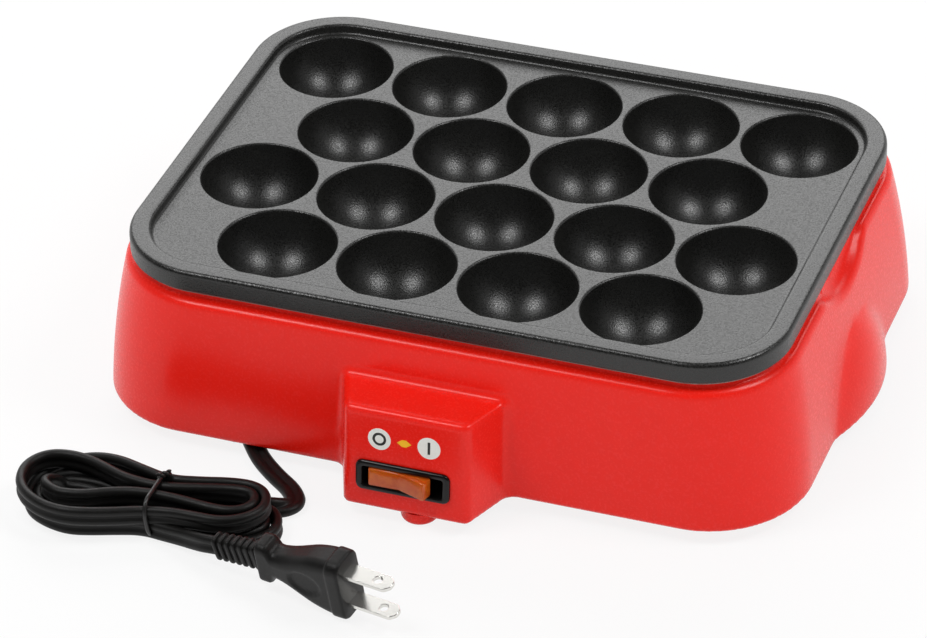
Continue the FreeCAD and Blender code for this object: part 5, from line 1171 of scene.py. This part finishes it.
    def signs(self) -> None:
        """White discs with the off and on signs, and the yellow mark between them."""
        (middle, up), radius, steps = self.sign_place, self.sign_radius, 48
        off, on = middle - self.sign_spread, middle + self.sign_spread
        for name, side in (("off_disc", off), ("on_disc", on)):
            self.ink(name, [circle(side, up, radius, steps)], WHITE_INK, self.print_out)
        ring = [circle(off, up, radius * share, steps) for share in self.off_shares]
        self.ink("off_sign", ring, BLACK_INK, self.sign_out)
        self.ink("on_sign", [[(on + x, up + rise) for x, rise in self.on_bar]], BLACK_INK, self.sign_out)
        self.ink("way_mark", [[(middle + x, up + rise) for x, rise in self.way]], YELLOW_INK, self.print_out)

    def build(self) -> None:
        """Make and dress every piece of the switch."""
        self.housing()
        self.rocker()
        self.signs()


# ------------------------------------------------------------------------------- the lead
@dataclass
class MainsLead:
    """Flat twin lead: a short run under the shell's edge, then turns of a tied hank, then its tail.

    The outline holds one turn: its share of the turn, and its place. The offsets hold, by turns gone, how
    many gaps the lead lies inside that outline and its layer, from the lower to the upper one.
    """

    palette: Palette
    width: float = 7.0
    thickness: float = 3.5
    gap: float = 3.62
    low: float = 3.58
    high: float = 10.62
    groove: float = 0.75
    lobe_steps: int = 10
    flat_until: float = 41.0
    edge_from: float = 60.0
    run: tuple[Point, ...] = (
        (-66.3, -84.81, 2.6), (-62.2, -90.4, 2.3), (-57.2, -96.4, 1.95), (-49.2, -103.4, 1.9),
        (-41.6, -108.9, 2.0), (-36.9, -115.6, 2.4), (-39.4, -120.6, 3.1))
    outline: tuple[tuple[float, float, float], ...] = (
        (0.0, -40.9, -134.5), (0.05, -42.5, -127.2), (0.1, -48.0, -123.3), (0.16, -56.0, -123.8),
        (0.22, -66.0, -126.6), (0.28, -77.0, -129.0), (0.34, -88.0, -126.0), (0.39, -97.5, -122.4),
        (0.44, -107.0, -120.9), (0.48, -116.0, -122.4), (0.515, -122.8, -127.0), (0.55, -126.0, -134.5),
        (0.585, -125.4, -142.8), (0.62, -121.2, -149.6), (0.67, -113.0, -154.6), (0.72, -104.0, -155.9),
        (0.77, -96.0, -153.9), (0.82, -88.0, -149.9), (0.86, -80.5, -146.0), (0.9, -71.0, -144.4),
        (0.935, -61.5, -145.2), (0.965, -52.5, -145.2), (0.985, -45.2, -141.4))
    # (turns gone, gaps inwards, layer)
    offsets: tuple[tuple[float, float, float], ...] = (
        (0.05, -0.2, 0.0), (0.16, 0.0, 0.0), (0.22, 0.0, 0.0), (0.34, 0.9, 0.0), (0.48, 1.5, 0.0),
        (0.585, 1.5, 0.0), (0.67, 2.1, 0.0), (0.82, 2.05, 0.0), (0.9, 0.9, 0.0), (0.935, 0.1, 0.0),
        (0.985, -1.1, 0.0), (1.0, -1.4, 0.0), (1.05, -0.8, 0.0), (1.1, 0.5, 0.0), (1.16, 1.0, 0.0),
        (1.22, 1.05, 0.0), (1.34, 1.9, 0.0), (1.44, 2.4, 0.0), (1.515, 2.55, 0.0), (1.585, 2.55, 0.0),
        (1.67, 3.15, 0.0), (1.82, 3.1, 0.0), (1.86, 2.7, 0.0), (1.9, 1.95, 0.0), (1.935, 1.2, 0.0),
        (1.985, 0.1, 0.0), (2.0, -0.2, 0.0), (2.05, 0.4, 0.0), (2.1, 1.55, 0.0), (2.16, 2.0, 0.0),
        (2.22, 2.1, 0.0), (2.34, 2.9, 0.0), (2.44, 3.35, 0.0), (2.48, 3.4, 0.0), (2.515, 3.2, 0.1),
        (2.55, 2.9, 0.5), (2.585, 2.45, 0.85), (2.62, 2.2, 1.0), (2.67, 2.3, 1.0), (2.72, 2.7, 1.0),
        (2.82, 2.8, 1.0), (2.86, 2.35, 1.0), (2.9, 1.8, 1.0), (2.965, 1.65, 1.0), (2.985, 1.35, 1.0),
        (3.0, 1.2, 1.0), (3.1, 1.0, 1.0), (3.22, 1.0, 1.0), (3.28, 1.25, 1.0), (3.34, 2.0, 1.0),
        (3.39, 2.0, 1.0), (3.44, 1.6, 1.0), (3.48, 1.1, 1.0), (3.515, 0.5, 1.0), (3.55, 0.05, 1.0),
        (3.72, 0.0, 1.0), (3.77, 0.0, 0.97), (3.82, 0.0, 0.85), (3.86, 0.0, 0.78), (3.9, 0.0, 0.86),
        (3.935, 0.0, 1.0), (4.28, 0.0, 1.0), (4.34, 0.0, 0.98), (4.39, 0.0, 0.85), (4.44, 0.0, 0.6),
        (4.48, 0.05, 0.25), (4.515, 0.2, 0.02), (4.55, 0.45, 0.0), (4.67, 1.1, 0.0), (4.77, 1.1, 0.0),
        (4.82, 0.8, 0.0), (4.86, 0.3, 0.03))
    tail: tuple[Point, ...] = ((-72.5, -146.2, 4.1), (-65.4, -147.8, 5.0), (-59.6, -150.2, 6.4),
                               (-54.8, -152.1, 7.8), (-50.3, -152.45, 8.35))
    wave_height: float = 0.125
    wave_rate: float = 5.1      # radians in a turn
    wave_start: float = 1.3
    least_step: float = 0.05    # points of the spline that lie nearer are one
    path: list[Vector] = field(init=False, default_factory=list)
    length: float = field(init=False, default=0.0)

    def hank_points(self) -> list[Point]:
        """Control points of the hank's turns.

        Returns:
            The points, measured from the shell's middle.
        """
        spots = [Vector((x, y)) for _, x, y in self.outline]
        inward = []
        for place in range(len(spots)):
            along = (spots[(place + 1) % len(spots)] - spots[place - 1]).normalized()
            inward.append(Vector((-along.y, along.x)))
        knots = np.array(self.offsets)
        points = []
        for turn in range(math.ceil(self.offsets[-1][0])):
            for (share, _, _), spot, normal in zip(self.outline, spots, inward):
                at = turn + share
                if not knots[0, 0] < at <= knots[-1, 0] + 1e-6:
                    continue
                offset, layer = (float(np.interp(at, knots[:, 0], knots[:, column])) for column in (1, 2))
                wave = self.wave_height * math.sin(self.wave_rate * at + self.wave_start) * layer
                place = spot + normal * (offset * self.gap)
                height = self.low + (self.high - self.low) * layer + max(wave, 0.0)
                points.append((place.x, place.y, height))
        return points

    def route(self) -> list[Vector]:
        """Control points of the whole lead, in the frame, mm."""
        points = list(self.run) + self.hank_points() + list(self.tail)
        return [Vector((x, y + MIDDLE_Y, z)) for x, y, z in points]

    def spline(self, points: Sequence[Vector]) -> list[Vector]:
        """Points read from the route's smooth spline.

        Args:
            points: control points, mm.

        Returns:
            Points along the spline, mm.
        """
        curve = bpy.data.curves.new("lead_route", "CURVE")
        curve.dimensions = "3D"
        curve.resolution_u = 8
        line = curve.splines.new("NURBS")
        line.points.add(len(points) - 1)
        for spot, point in zip(line.points, points):
            spot.co = (*(point * MM), 1.0)
        line.order_u = 3
        line.use_endpoint_u = True
        carrier = linked("lead_route", curve)
        mesh = evaluated_mesh(carrier)
        read = [vertex.co / MM for vertex in mesh.vertices]
        found = read[:1] + [after for before, after in zip(read, read[1:])
                            if (after - before).length > self.least_step]
        bpy.data.meshes.remove(mesh)
        bpy.data.objects.remove(carrier)
        bpy.data.curves.remove(curve)
        return found

    def section(self) -> list[tuple[float, float]]:
        """Twin section: two round lobes with a shallow groove between them.

        Returns:
            Points round the section.
        """
        radius, points = self.thickness / 2, []
        reach = 180 - math.degrees(math.asin(1 - self.groove / radius))
        for side in (1, -1):
            for step in range(self.lobe_steps + 1):
                turn = math.radians(reach * (2 * step / self.lobe_steps - 1))
                across = self.width / 2 - radius + radius * math.cos(turn)
                points.append((side * across, side * radius * math.sin(turn)))
            points.append((0.0, side * (radius - self.groove)))
        return points

    def build(self) -> bpy.types.Object:
        """Sweep the section along the spline, turned on edge after the run, and dress it.

        Returns:
            The lead.
        """
        path = self.spline(self.route())
        rings, gone = [], 0.0
        section = self.section()
        for place, spot in enumerate(path):
            before, after = path[max(place - 1, 0)], path[min(place + 1, len(path) - 1)]
            along = (after - before).normalized()
            if place:
                gone += (spot - path[place - 1]).length
            level = Vector((0, 0, 1)).cross(along).normalized()
            up = along.cross(level)
            share = min(max((gone - self.flat_until) / (self.edge_from - self.flat_until), 0.0), 1.0)
            turn = math.radians(-90 * share * share * (3 - 2 * share))
            wide = level * math.cos(turn) + up * math.sin(turn)
            thin = along.cross(wide)
            rings.append([tuple(spot + wide * a + thin * b) for a, b in section])
        points, faces = capped(rings, tuple(path[0]), tuple(path[-1]))
        lead = tidy_mesh(mesh_object("mains_lead", points, faces))
        settle(lead, BASE, self.palette.of(CORD_PVC), ["cord_run", "cord_hank", "cord_tail"])
        self.length, self.path = gone, path
        log.info("lead: %.0f mm along its middle, %d rings", gone, len(path))
        return lead


@dataclass
class TieWire:
    """Thin covered wire twisted round the hank."""

    palette: Palette
    x: float = -77.6
    lean: float = -0.13
    sides: tuple[float, float] = (-148.0, -126.3)
    heights: tuple[float, float] = (0.8, 14.9)
    corner: float = 5.2
    radius: float = 0.75
    sides_round: int = 10       # facets round the wire
    knot: Point = (-79.6, -132.2, 15.5)
    knot_reach: Point = (3.4, 3.2, 0.1)
    twist_turns: float = 1.3
    twist_steps: int = 18
    strand: float = 0.8         # a strand's radius and its distance from the knot's middle, in wire radii

    def tube(self, path: Sequence[Vector], radius: float, closed: bool) -> Shape:
        """Round wire along a path.

        Args:
            path: middle of the wire, mm.
            radius: its radius, mm.
            closed: whether it is a ring.

        Returns:
            Points and faces.
        """
        rings = []
        for place, spot in enumerate(path):
            before = path[place - 1] if place or closed else spot
            after = path[(place + 1) % len(path)] if closed or place + 1 < len(path) else spot
            along = (after - before).normalized()
            side = along.cross(Vector((0.31, 0.17, 0.93))).normalized()
            up = along.cross(side)
            spokes = [side * math.cos(turn) + up * math.sin(turn) for turn in full_turn(self.sides_round)]
            rings.append([tuple(spot + spoke * radius) for spoke in spokes])
        return bridge(rings, closed=True) if closed else capped(rings, tuple(path[0]), tuple(path[-1]))

    def build(self) -> bpy.types.Object:
        """Make the ring and its twisted ends.

        Returns:
            The wire.
        """
        near, far = self.sides
        low, high = self.heights
        middle = Vector((self.x, (near + far) / 2 + MIDDLE_Y, (low + high) / 2))
        outline = rounded_outline((far - near) / 2, (high - low) / 2, self.corner, 8, 6)
        ring = [middle + Vector((self.lean * up, across, up)) for across, up in outline]
        shapes = [self.tube(ring, self.radius, True)]
        start, reach = Vector(self.knot) + Vector((0, MIDDLE_Y, 0)), Vector(self.knot_reach)
        side = Vector((-reach.y, reach.x, 0)).normalized()
        radius = self.radius * self.strand
        for strand in (0.0, math.pi):
            twist = []
            for step in range(self.twist_steps + 1):
                share = step / self.twist_steps
                turn = strand + 2 * math.pi * self.twist_turns * share
                swing = side * math.cos(turn) + Vector((0, 0, 1)) * math.sin(turn)
                twist.append(start + reach * share + swing * radius)
            shapes.append(self.tube(twist, radius, False))
        tie = tidy_mesh(mesh_object("hank_tie", *joined(shapes)), 0.001)
        return settle(tie, BASE, self.palette.of(TIE_PVC), ["cord_tie"])


@dataclass
class MainsPlug:
    """Moulded two-blade plug with thumb rests, collar and a ribbed strain relief."""

    palette: Palette
    # moves points from the plug's own face to its place beside the base
    frame: Matrix = field(default_factory=lambda: Matrix((
        (0.97645, 0.204481, -0.0687909, 1.1), (-0.212901, 0.964873, -0.153926, -152.073),
        (0.0348995, 0.164947, 0.985685, 12.7982), (0.0, 0.0, 0.0, 1.0))))
    stations: tuple[tuple[float, float, float, float], ...] = (
        # distance behind the face, half across the blades, half thickness, corner radius
        (0.0, 11.35, 5.7, 3.2), (0.22, 11.85, 6.15, 3.5), (0.75, 12.1, 6.36, 3.6), (4.2, 12.2, 6.44, 3.7),
        (4.75, 12.15, 6.4, 3.7), (5.0, 11.9, 6.2, 3.6), (5.35, 11.72, 6.08, 3.6), (6.5, 11.6, 6.05, 3.6),
        (9.5, 11.1, 6.0, 3.7), (13.0, 10.2, 5.9, 3.8), (17.25, 8.5, 5.72, 3.9), (21.0, 6.9, 5.45, 3.8),
        (24.5, 5.8, 5.1, 3.6), (27.2, 5.4, 4.8, 3.4), (28.5, 5.6, 4.72, 3.2), (29.2, 6.6, 4.7, 2.8),
        (29.7, 7.7, 4.68, 2.6), (30.4, 8.15, 4.68, 2.5), (33.2, 8.2, 4.66, 2.5), (33.75, 8.05, 4.55, 2.5),
        (34.0, 7.6, 4.2, 2.4))
    thumb: tuple[float, float, float, float] = (14.6, 6.4, 4.6, 0.75)   # middle, half sizes, depth
    thumb_slope: tuple[float, float] = (0.86, 1.02)     # where its slope starts and ends, in half sizes
    broad_from: float = 2.0                             # the broad sides lie further out than this
    step: float = 0.7                                   # between the rings of the moulding
    relief_length: float = 19.0
    relief_half: tuple[float, float] = (4.7, 3.0)
    relief_corner: float = 1.6
    droop: float = 8.0
    ribs: int = 7
    rib_first: float = 0.62                             # middle of the first rib, in rib pitches
    rib_half: float = 0.34                              # half a rib's length, in rib pitches
    rib_stand: tuple[float, float] = (0.35, 0.25)       # how far a rib stands out of the core
    rib_powers: Point = (0.5, 0.45, 0.45)               # below 1 a ball turns towards a block
    rib_shrink: float = -0.012                          # change of size from rib to rib
    blade: tuple[float, float, float] = (17.3, 6.3, 1.5)
    blade_gap: float = 12.7
    blade_root: float = -0.4
    blade_chamfer: float = 1.9
    blade_bevel: float = 0.22
    hole: tuple[float, float] = (11.7, 1.55)            # place along the blade, radius

    def placed(self, points: Iterable[Sequence[float]], droop: bool = False) -> list[Point]:
        """Points of the plug in the frame, mm.

        Args:
            points: along, thickness and across, from the middle of the face.
            droop: whether they hang with the strain relief, counted from the collar's back.

        Returns:
            The points in the frame.
        """
        move = self.frame
        if droop:
            turn = Matrix.Rotation(math.radians(-self.droop), 4, Vector((0, 1, 0)))
            move = move @ Matrix.Translation(Vector((-self.stations[-1][0], 0, 0))) @ turn
        return [tuple(move @ Vector(point)) for point in points]

    def body(self) -> bpy.types.Object:
        """Block, waist and collar as one moulding with a thumb rest on each broad side.

        Returns:
            The moulding.
        """
        table = np.array(self.stations)
        distances = table[:, 0].tolist()
        fine: list[float] = []
        for a, b in zip(distances, distances[1:]):
            count = max(1, round((b - a) / self.step))
            fine += [a + (b - a) * step / count for step in range(count)]
        fine.append(distances[-1])
        rings = []
        for back in fine:
            across, thick, corner = (self.smooth(table[:, 0], table[:, place], back) for place in (1, 2, 3))
            outline = rounded_outline(across, thick, corner, 8, 14)
            rings.append([(-back, self.pressed(back, up, side), up) for up, side in outline])
        points, faces = capped(rings, (-fine[0], 0.0, 0.0), (-fine[-1], 0.0, 0.0))
        piece = tidy_mesh(mesh_object("plug_moulding", self.placed(points), faces), crease=55)
        return settle(piece, BASE, self.palette.of(CORD_PVC), ["plug_body"])

    @staticmethod
    def smooth(places: np.ndarray, values: np.ndarray, at: float) -> float:
        """Value between stations on a smooth curve without overshoot.

        Args:
            places: places of the stations.
            values: values at them.
            at: place that is asked for.

        Returns:
            The value there.
        """
        steps = np.diff(places)
        rises = np.diff(values) / steps
        both = rises[:-1] * rises[1:]
        slopes = np.concatenate([rises[:1], np.where(
            both > 0, 2 * both / np.where(both > 0, rises[:-1] + rises[1:], 1.0), 0.0), rises[-1:]])
        place = int(np.clip(np.searchsorted(places, at) - 1, 0, len(steps) - 1))
        part = (at - places[place]) / steps[place]
        a, b = values[place], values[place + 1]
        bend = (1 - part) * slopes[place] * steps[place] - part * slopes[place + 1] * steps[place]
        blend = part * part * (3 - 2 * part)
        return float(a + (b - a) * blend + part * (1 - part) * bend)

    def pressed(self, back: float, up: float, side: float) -> float:
        """Side of the plug with the oval thumb rest pressed in.

        Args:
            back: distance behind the face.
            up: place across the blades.
            side: the side before.

        Returns:
            The side after.
        """
        centre, half_long, half_high, depth = self.thumb
        near, far = self.thumb_slope
        reach = math.hypot((back - centre) / half_long, up / half_high)
        press = depth * (1 - min(max((reach - near) / (far - near), 0.0), 1.0))
        return side - math.copysign(press, side) if abs(side) > self.broad_from else side

    def rib_tree(self) -> bpy.types.NodeTree:
        """Geometry Nodes tree: ribs in a row that get smaller towards the lead.

        Returns:
            The tree.
        """
        tree, given = open_tree("relief ribs", {
            "Count": "Int", "Pitch": "Vector", "Half Sizes": "Vector", "Material": "Material"})
        line = add_node(tree, "GeometryNodeMeshLine", {"mode": "OFFSET", "count_mode": "TOTAL"}, {
            "Count": given["Count"], "Offset": given["Pitch"]}).outputs[0]
        ball = add_node(tree, "GeometryNodeMeshUVSphere", {"[Segments]": 40, "[Rings]": 20, "[Radius]": 1.0})
        spot = add_node(tree, "GeometryNodeInputPosition").outputs[0]
        size = add_node(tree, "ShaderNodeVectorMath", {"operation": "ABSOLUTE"}, {0: spot})
        square = add_node(tree, "ShaderNodeVectorMath", {"operation": "POWER", 1: self.rib_powers}, {
            0: size.outputs[0]})
        sign = add_node(tree, "ShaderNodeVectorMath", {"operation": "SIGN"}, {0: spot})
        unit = add_node(tree, "ShaderNodeVectorMath", {"operation": "MULTIPLY"}, {
            0: square.outputs[0], 1: sign.outputs[0]})
        place = add_node(tree, "ShaderNodeVectorMath", {"operation": "MULTIPLY"}, {
            0: unit.outputs[0], 1: given["Half Sizes"]})
        shaped = add_node(tree, "GeometryNodeSetPosition", {}, {
            "Geometry": ball.outputs[0], "Position": place.outputs[0]}).outputs[0]
        shrink = add_node(tree, "ShaderNodeMath", {"operation": "MULTIPLY_ADD", 1: self.rib_shrink, 2: 1.0}, {
            0: add_node(tree, "GeometryNodeInputIndex").outputs[0]}).outputs[0]
        placed = add_node(tree, "GeometryNodeInstanceOnPoints", {}, {
            "Points": line, "Instance": shaped, "Scale": shrink}).outputs[0]
        close_tree(tree, placed, given["Material"])
        return tree

    def relief(self) -> bpy.types.Object:
        """Strain relief: a flat core with soft ribs.

        Returns:
            The strain relief.
        """
        pitch = self.relief_length / self.ribs
        high, thick = self.relief_half
        more_high, more_thick = self.rib_stand
        material = self.palette.of(CORD_PVC)
        points, faces = evaluate_tree(self.rib_tree(), {
            "Count": self.ribs, "Pitch": (-pitch * MM, 0.0, 0.0), "Material": material,
            "Half Sizes": (pitch * self.rib_half * MM, (thick + more_thick) * MM, (high + more_high) * MM)})
        ribs = [(x - pitch * self.rib_first, y, z) for x, y, z in points], faces
        end = self.relief_length
        rings = []
        for back, grow in ((-0.6, -0.4), (0.0, -0.3), (end, -0.75), (end + 0.5, -1.0)):
            outline = rounded_outline(high + grow, thick + grow, self.relief_corner, 6, 4)
            rings.append([(-back, side, up) for up, side in outline])
        core = capped(rings, (rings[0][0][0], 0.0, 0.0), (rings[-1][0][0], 0.0, 0.0))
        points, faces = joined([ribs, core])
        placed = self.placed(points, droop=True)
        piece = tidy_mesh(mesh_object("strain_relief_ribs", placed, faces), 0.001, 50)
        return settle(piece, BASE, material, ["plug_relief"])

    def blades(self) -> bpy.types.Object:
        """Two flat blades with rounded ends and a round hole each.

        Returns:
            The blades, as one piece.
        """
        hole_at, hole = self.hole
        steps, thick = 48, self.blade[2]
        inner = circle(hole_at, 0.0, hole, steps)
        outer = [self.blade_edge(turn) for turn in full_turn(steps)]
        shapes = []
        for side in (-1, 1):
            middle = side * self.blade_gap / 2
            rings = [[(x, y, middle + level * thick) for x, y in loop]
                     for loop, level in ((outer, -0.5), (outer, 0.5), (inner, 0.5), (inner, -0.5))]
            shapes.append(bridge(rings, closed=True))
        points, faces = joined(shapes)
        pair = tidy_mesh(mesh_object("plug_blade_pair", self.placed(points), faces), 0.001, 30)
        rounding = pair.modifiers.new("edges", "BEVEL")
        rounding.width = self.blade_bevel * MM
        rounding.segments = 3
        rounding.limit_method = "ANGLE"
        rounding.harden_normals = True
        return settle(pair, BASE, self.palette.of(NICKEL), ["plug_blades"])

    def blade_edge(self, turn: float) -> tuple[float, float]:
        """Point of a blade's outline seen from its hole.

        Args:
            turn: angle from the blade's tip.

        Returns:
            Place along the blade and across it.
        """
        (length, width, _), centre = self.blade, self.hole[0]
        reach_x, reach_y = math.cos(turn), math.sin(turn)
        reaches = []
        if reach_y:
            reaches.append(width / 2 / abs(reach_y))
        if reach_x > 0:
            reaches.append((length - centre) / reach_x)
            reaches.append((length - centre + width / 2 - self.blade_chamfer) / (reach_x + abs(reach_y)))
        if reach_x < 0:
            reaches.append((centre - self.blade_root) / -reach_x)
        best = min(reaches)
        return centre + best * reach_x, best * reach_y

    def build(self) -> list[bpy.types.Object]:
        """Make and dress the plug's pieces."""
        return [self.body(), self.relief(), self.blades()]


# ----------------------------------------------------------------------- carried-over nodes
@dataclass
class CarriedNodes:
    """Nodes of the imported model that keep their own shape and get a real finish."""

    palette: Palette
    finishes: dict[str, Finish] = field(default_factory=lambda: {
        "bottom_cover": RED_PLASTIC, "closed_end_connector": WHITE_NYLON, "cord_bush": BLACK_PLASTIC,
        "cover_screws": ZINC, "fuse_strap": ZINC, "heater_clips": ZINC, "heater_pins": BRASS,
        "heater_seals": CERAMIC, "lead_fuse": WHITE_PVC, "lead_heater": WHITE_PVC, "lead_lamp": WHITE_PVC,
        "lead_line": WHITE_PVC, "lead_neutral": WHITE_PVC, "lead_return": WHITE_PVC,
        "lead_sleeves": CLEAR_SLEEVE, "lead_switched": WHITE_PVC, "neon_lamp": LAMP_GLASS,
        "reflector_tray": SHADE_DARKENED_TRAY_METAL, "sheathed_heater": HEATER_STEEL, "switch_blades": BRASS,
        "thermal_fuse": ZINC, "thermostat": CERAMIC, "tray_rivets": ZINC, "tray_screws": ZINC})

    def build(self) -> None:
        """Dress each node."""
        for name, finish in self.finishes.items():
            thing = frame["nodes"][name]
            material = self.palette.of(finish)
            if not thing.material_slots:
                thing.data.materials.append(material)
            for slot in thing.material_slots:
                slot.material = material
            log.info("%s: %s", name, finish.name)


# ------------------------------------------------------------------------------- the studio
@dataclass(frozen=True)
class Lamp:
    """Rectangular soft lamp: its place and its sides in m, and its power in W."""

    name: str
    place: Point
    size: tuple[float, float]
    power: float


@dataclass
class Studio:
    """White floor, soft lamps and the camera.

    Lengths are in mm and angles in degrees, but for the lamps' and their aim, which are in m.
    """

    target: Point = (10.56, -67.04, 63.0)
    azimuth: float = 20.675
    elevation: float = 34.734
    roll: float = -1.689
    distance: float = 1573.0
    lens: float = 185.36
    sensor: float = 36.0
    clip: tuple[float, float] = (0.05, 50.0)
    glow: float = 0.85          # share of plain white in the floor that the camera sees
    floor_half: float = 4000.0
    aim: Point = (0.0, 0.0, 0.04)
    lamps: tuple[Lamp, ...] = (Lamp("window_back", (-0.46, 1.2, 0.95), (1.7, 0.95), 16.0),
                               Lamp("softbox_left", (-0.47, -0.4, 1.15), (0.42, 0.42), 6.0),
                               Lamp("softbox_right", (0.72, 0.07, 1.08), (0.42, 0.42), 6.0))

    def camera(self) -> None:
        """Set the camera at its angle."""
        turn, rise, roll = (math.radians(value) for value in (self.azimuth, self.elevation, self.roll))
        back = Vector((math.sin(turn) * math.cos(rise), -math.cos(turn) * math.cos(rise), math.sin(rise)))
        right = Vector((0, 0, 1)).cross(back).normalized()
        up = back.cross(right)
        across = right * math.cos(roll) + up * math.sin(roll)
        upright = up * math.cos(roll) - right * math.sin(roll)
        matrix = Matrix((across, upright, back)).transposed().to_4x4()
        matrix.translation = (Vector(self.target) + back * self.distance) * MM
        data = bpy.data.cameras.new("view")
        data.lens, data.sensor_width = self.lens, self.sensor
        data.clip_start, data.clip_end = self.clip
        camera = linked("view", data)
        camera.matrix_world = matrix
        bpy.context.scene.camera = camera

    def hang(self, lamp: Lamp) -> None:
        """Hang a lamp and point it at the object.

        Args:
            lamp: the lamp.
        """
        data = bpy.data.lights.new(lamp.name, "AREA")
        data.shape, data.energy = "RECTANGLE", lamp.power
        data.size, data.size_y = lamp.size
        thing = linked(lamp.name, data)
        thing.location = lamp.place
        thing.rotation_euler = (Vector(self.aim) - Vector(lamp.place)).to_track_quat("-Z", "Y").to_euler()

    def world(self) -> None:
        """White cyclorama under a dim ceiling; the camera sees plain white.

        In gloss the white lies behind the object, and the camera's side is dark.
        """
        world = bpy.data.worlds.new("surroundings")
        bpy.context.scene.world = world
        tree = empty_tree(world)
        path = add_node(tree, "ShaderNodeLightPath").outputs
        way = add_node(tree, "ShaderNodeSeparateXYZ", {}, {
            0: add_node(tree, "ShaderNodeTexCoord").outputs["Generated"]}).outputs
        wall = add_node(tree, "ShaderNodeMapRange", {
            "interpolation_type": "SMOOTHSTEP", "[From Min]": 0.1, "[From Max]": 0.62, "[To Min]": 1.3,
            "[To Max]": 0.25}, {"Value": way["Z"]}).outputs["Result"]
        behind = add_node(tree, "ShaderNodeMapRange", {
            "interpolation_type": "SMOOTHSTEP", "[From Min]": -0.35, "[From Max]": 0.35, "[To Min]": 0.07,
            "[To Max]": 0.77}, {"Value": way["Y"]}).outputs["Result"]
        gloss = add_node(tree, "ShaderNodeMath", {"operation": "MULTIPLY"}, {0: wall, 1: behind}).outputs[0]
        lit = add_node(tree, "ShaderNodeMix", {}, {
            "Factor": path["Is Glossy Ray"], "A": wall, "B": gloss}).outputs["Result"]
        seen = add_node(tree, "ShaderNodeMath", {"operation": "MAXIMUM"}, {
            0: path["Is Camera Ray"], 1: path["Is Transmission Ray"]}).outputs[0]
        level = add_node(tree, "ShaderNodeMix", {"[B]": 1.0}, {"Factor": seen, "A": lit}).outputs["Result"]
        sky = add_node(tree, "ShaderNodeBackground", {"[Color]": linear("#ffffff")}, {"Strength": level})
        add_node(tree, "ShaderNodeOutputWorld", {}, {"Surface": sky.outputs[0]})

    def floor(self) -> None:
        """White floor that keeps a soft shadow."""
        side = self.floor_half
        spots = [(-side, -side, 0), (side, -side, 0), (side, side, 0), (-side, side, 0)]
        floor = mesh_object("studio_floor", spots, [(0, 1, 2, 3)], smooth=False)
        material = bpy.data.materials.new("matt white floor")
        tree = empty_tree(material)
        place = add_node(tree, "ShaderNodeTexCoord").outputs["Object"]
        noise = add_node(tree, "ShaderNodeTexNoise", {"[Scale]": 2.0}, {"Vector": place}).outputs["Fac"]
        rough = add_node(tree, "ShaderNodeMapRange", {"[To Min]": 0.85, "[To Max]": 0.95}, {
            "Value": noise}).outputs["Result"]
        matt = add_node(tree, "ShaderNodeBsdfPrincipled", {
            "[Base Color]": linear("#e6e6e6"), "[Specular IOR Level]": 0.1}, {"Roughness": rough})
        path = add_node(tree, "ShaderNodeLightPath").outputs
        glow = add_node(tree, "ShaderNodeEmission", {"[Color]": linear("#ffffff"), "[Strength]": 1.0})
        gloss = add_node(tree, "ShaderNodeMath", {"operation": "MAXIMUM"}, {
            0: path["Is Glossy Ray"], 1: path["Is Transmission Ray"]}).outputs[0]
        seen = add_node(tree, "ShaderNodeMath", {"operation": "MAXIMUM"}, {
            0: path["Is Camera Ray"], 1: gloss}).outputs[0]
        share = add_node(tree, "ShaderNodeMath", {"operation": "MULTIPLY", 1: self.glow}, {0: seen})
        both = add_node(tree, "ShaderNodeMixShader", {}, {
            0: share.outputs[0], 1: matt.outputs[0], 2: glow.outputs[0]})
        add_node(tree, "ShaderNodeOutputMaterial", {}, {"Surface": both.outputs[0]})
        floor.data.materials.append(material)

    def build(self) -> None:
        """Set up the whole studio."""
        bpy.context.scene.view_settings.view_transform = "Standard"
        self.world()
        self.floor()
        for lamp in self.lamps:
            self.hang(lamp)
        self.camera()


def corners(bounds: tuple[Vector, Vector]) -> list[list[float]]:
    """Bounds as plain lists."""
    return [[float(value) for value in corner] for corner in bounds]


def main() -> None:
    """Build every sub-assembly, dress the carried nodes and set the studio."""
    logging.basicConfig(level=logging.INFO, format="%(name)s %(message)s")
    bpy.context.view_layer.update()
    palette = Palette()
    lead = MainsLead(palette)
    cable = lead.build()
    tie = TieWire(palette).build()
    plug = MainsPlug(palette).build()
    BaseShell(palette).build()
    CookingPlate(palette).build()
    SwitchUnit(palette).build()
    CarriedNodes(palette).build()
    Studio().build()


if __name__ == "__main__":
    main()
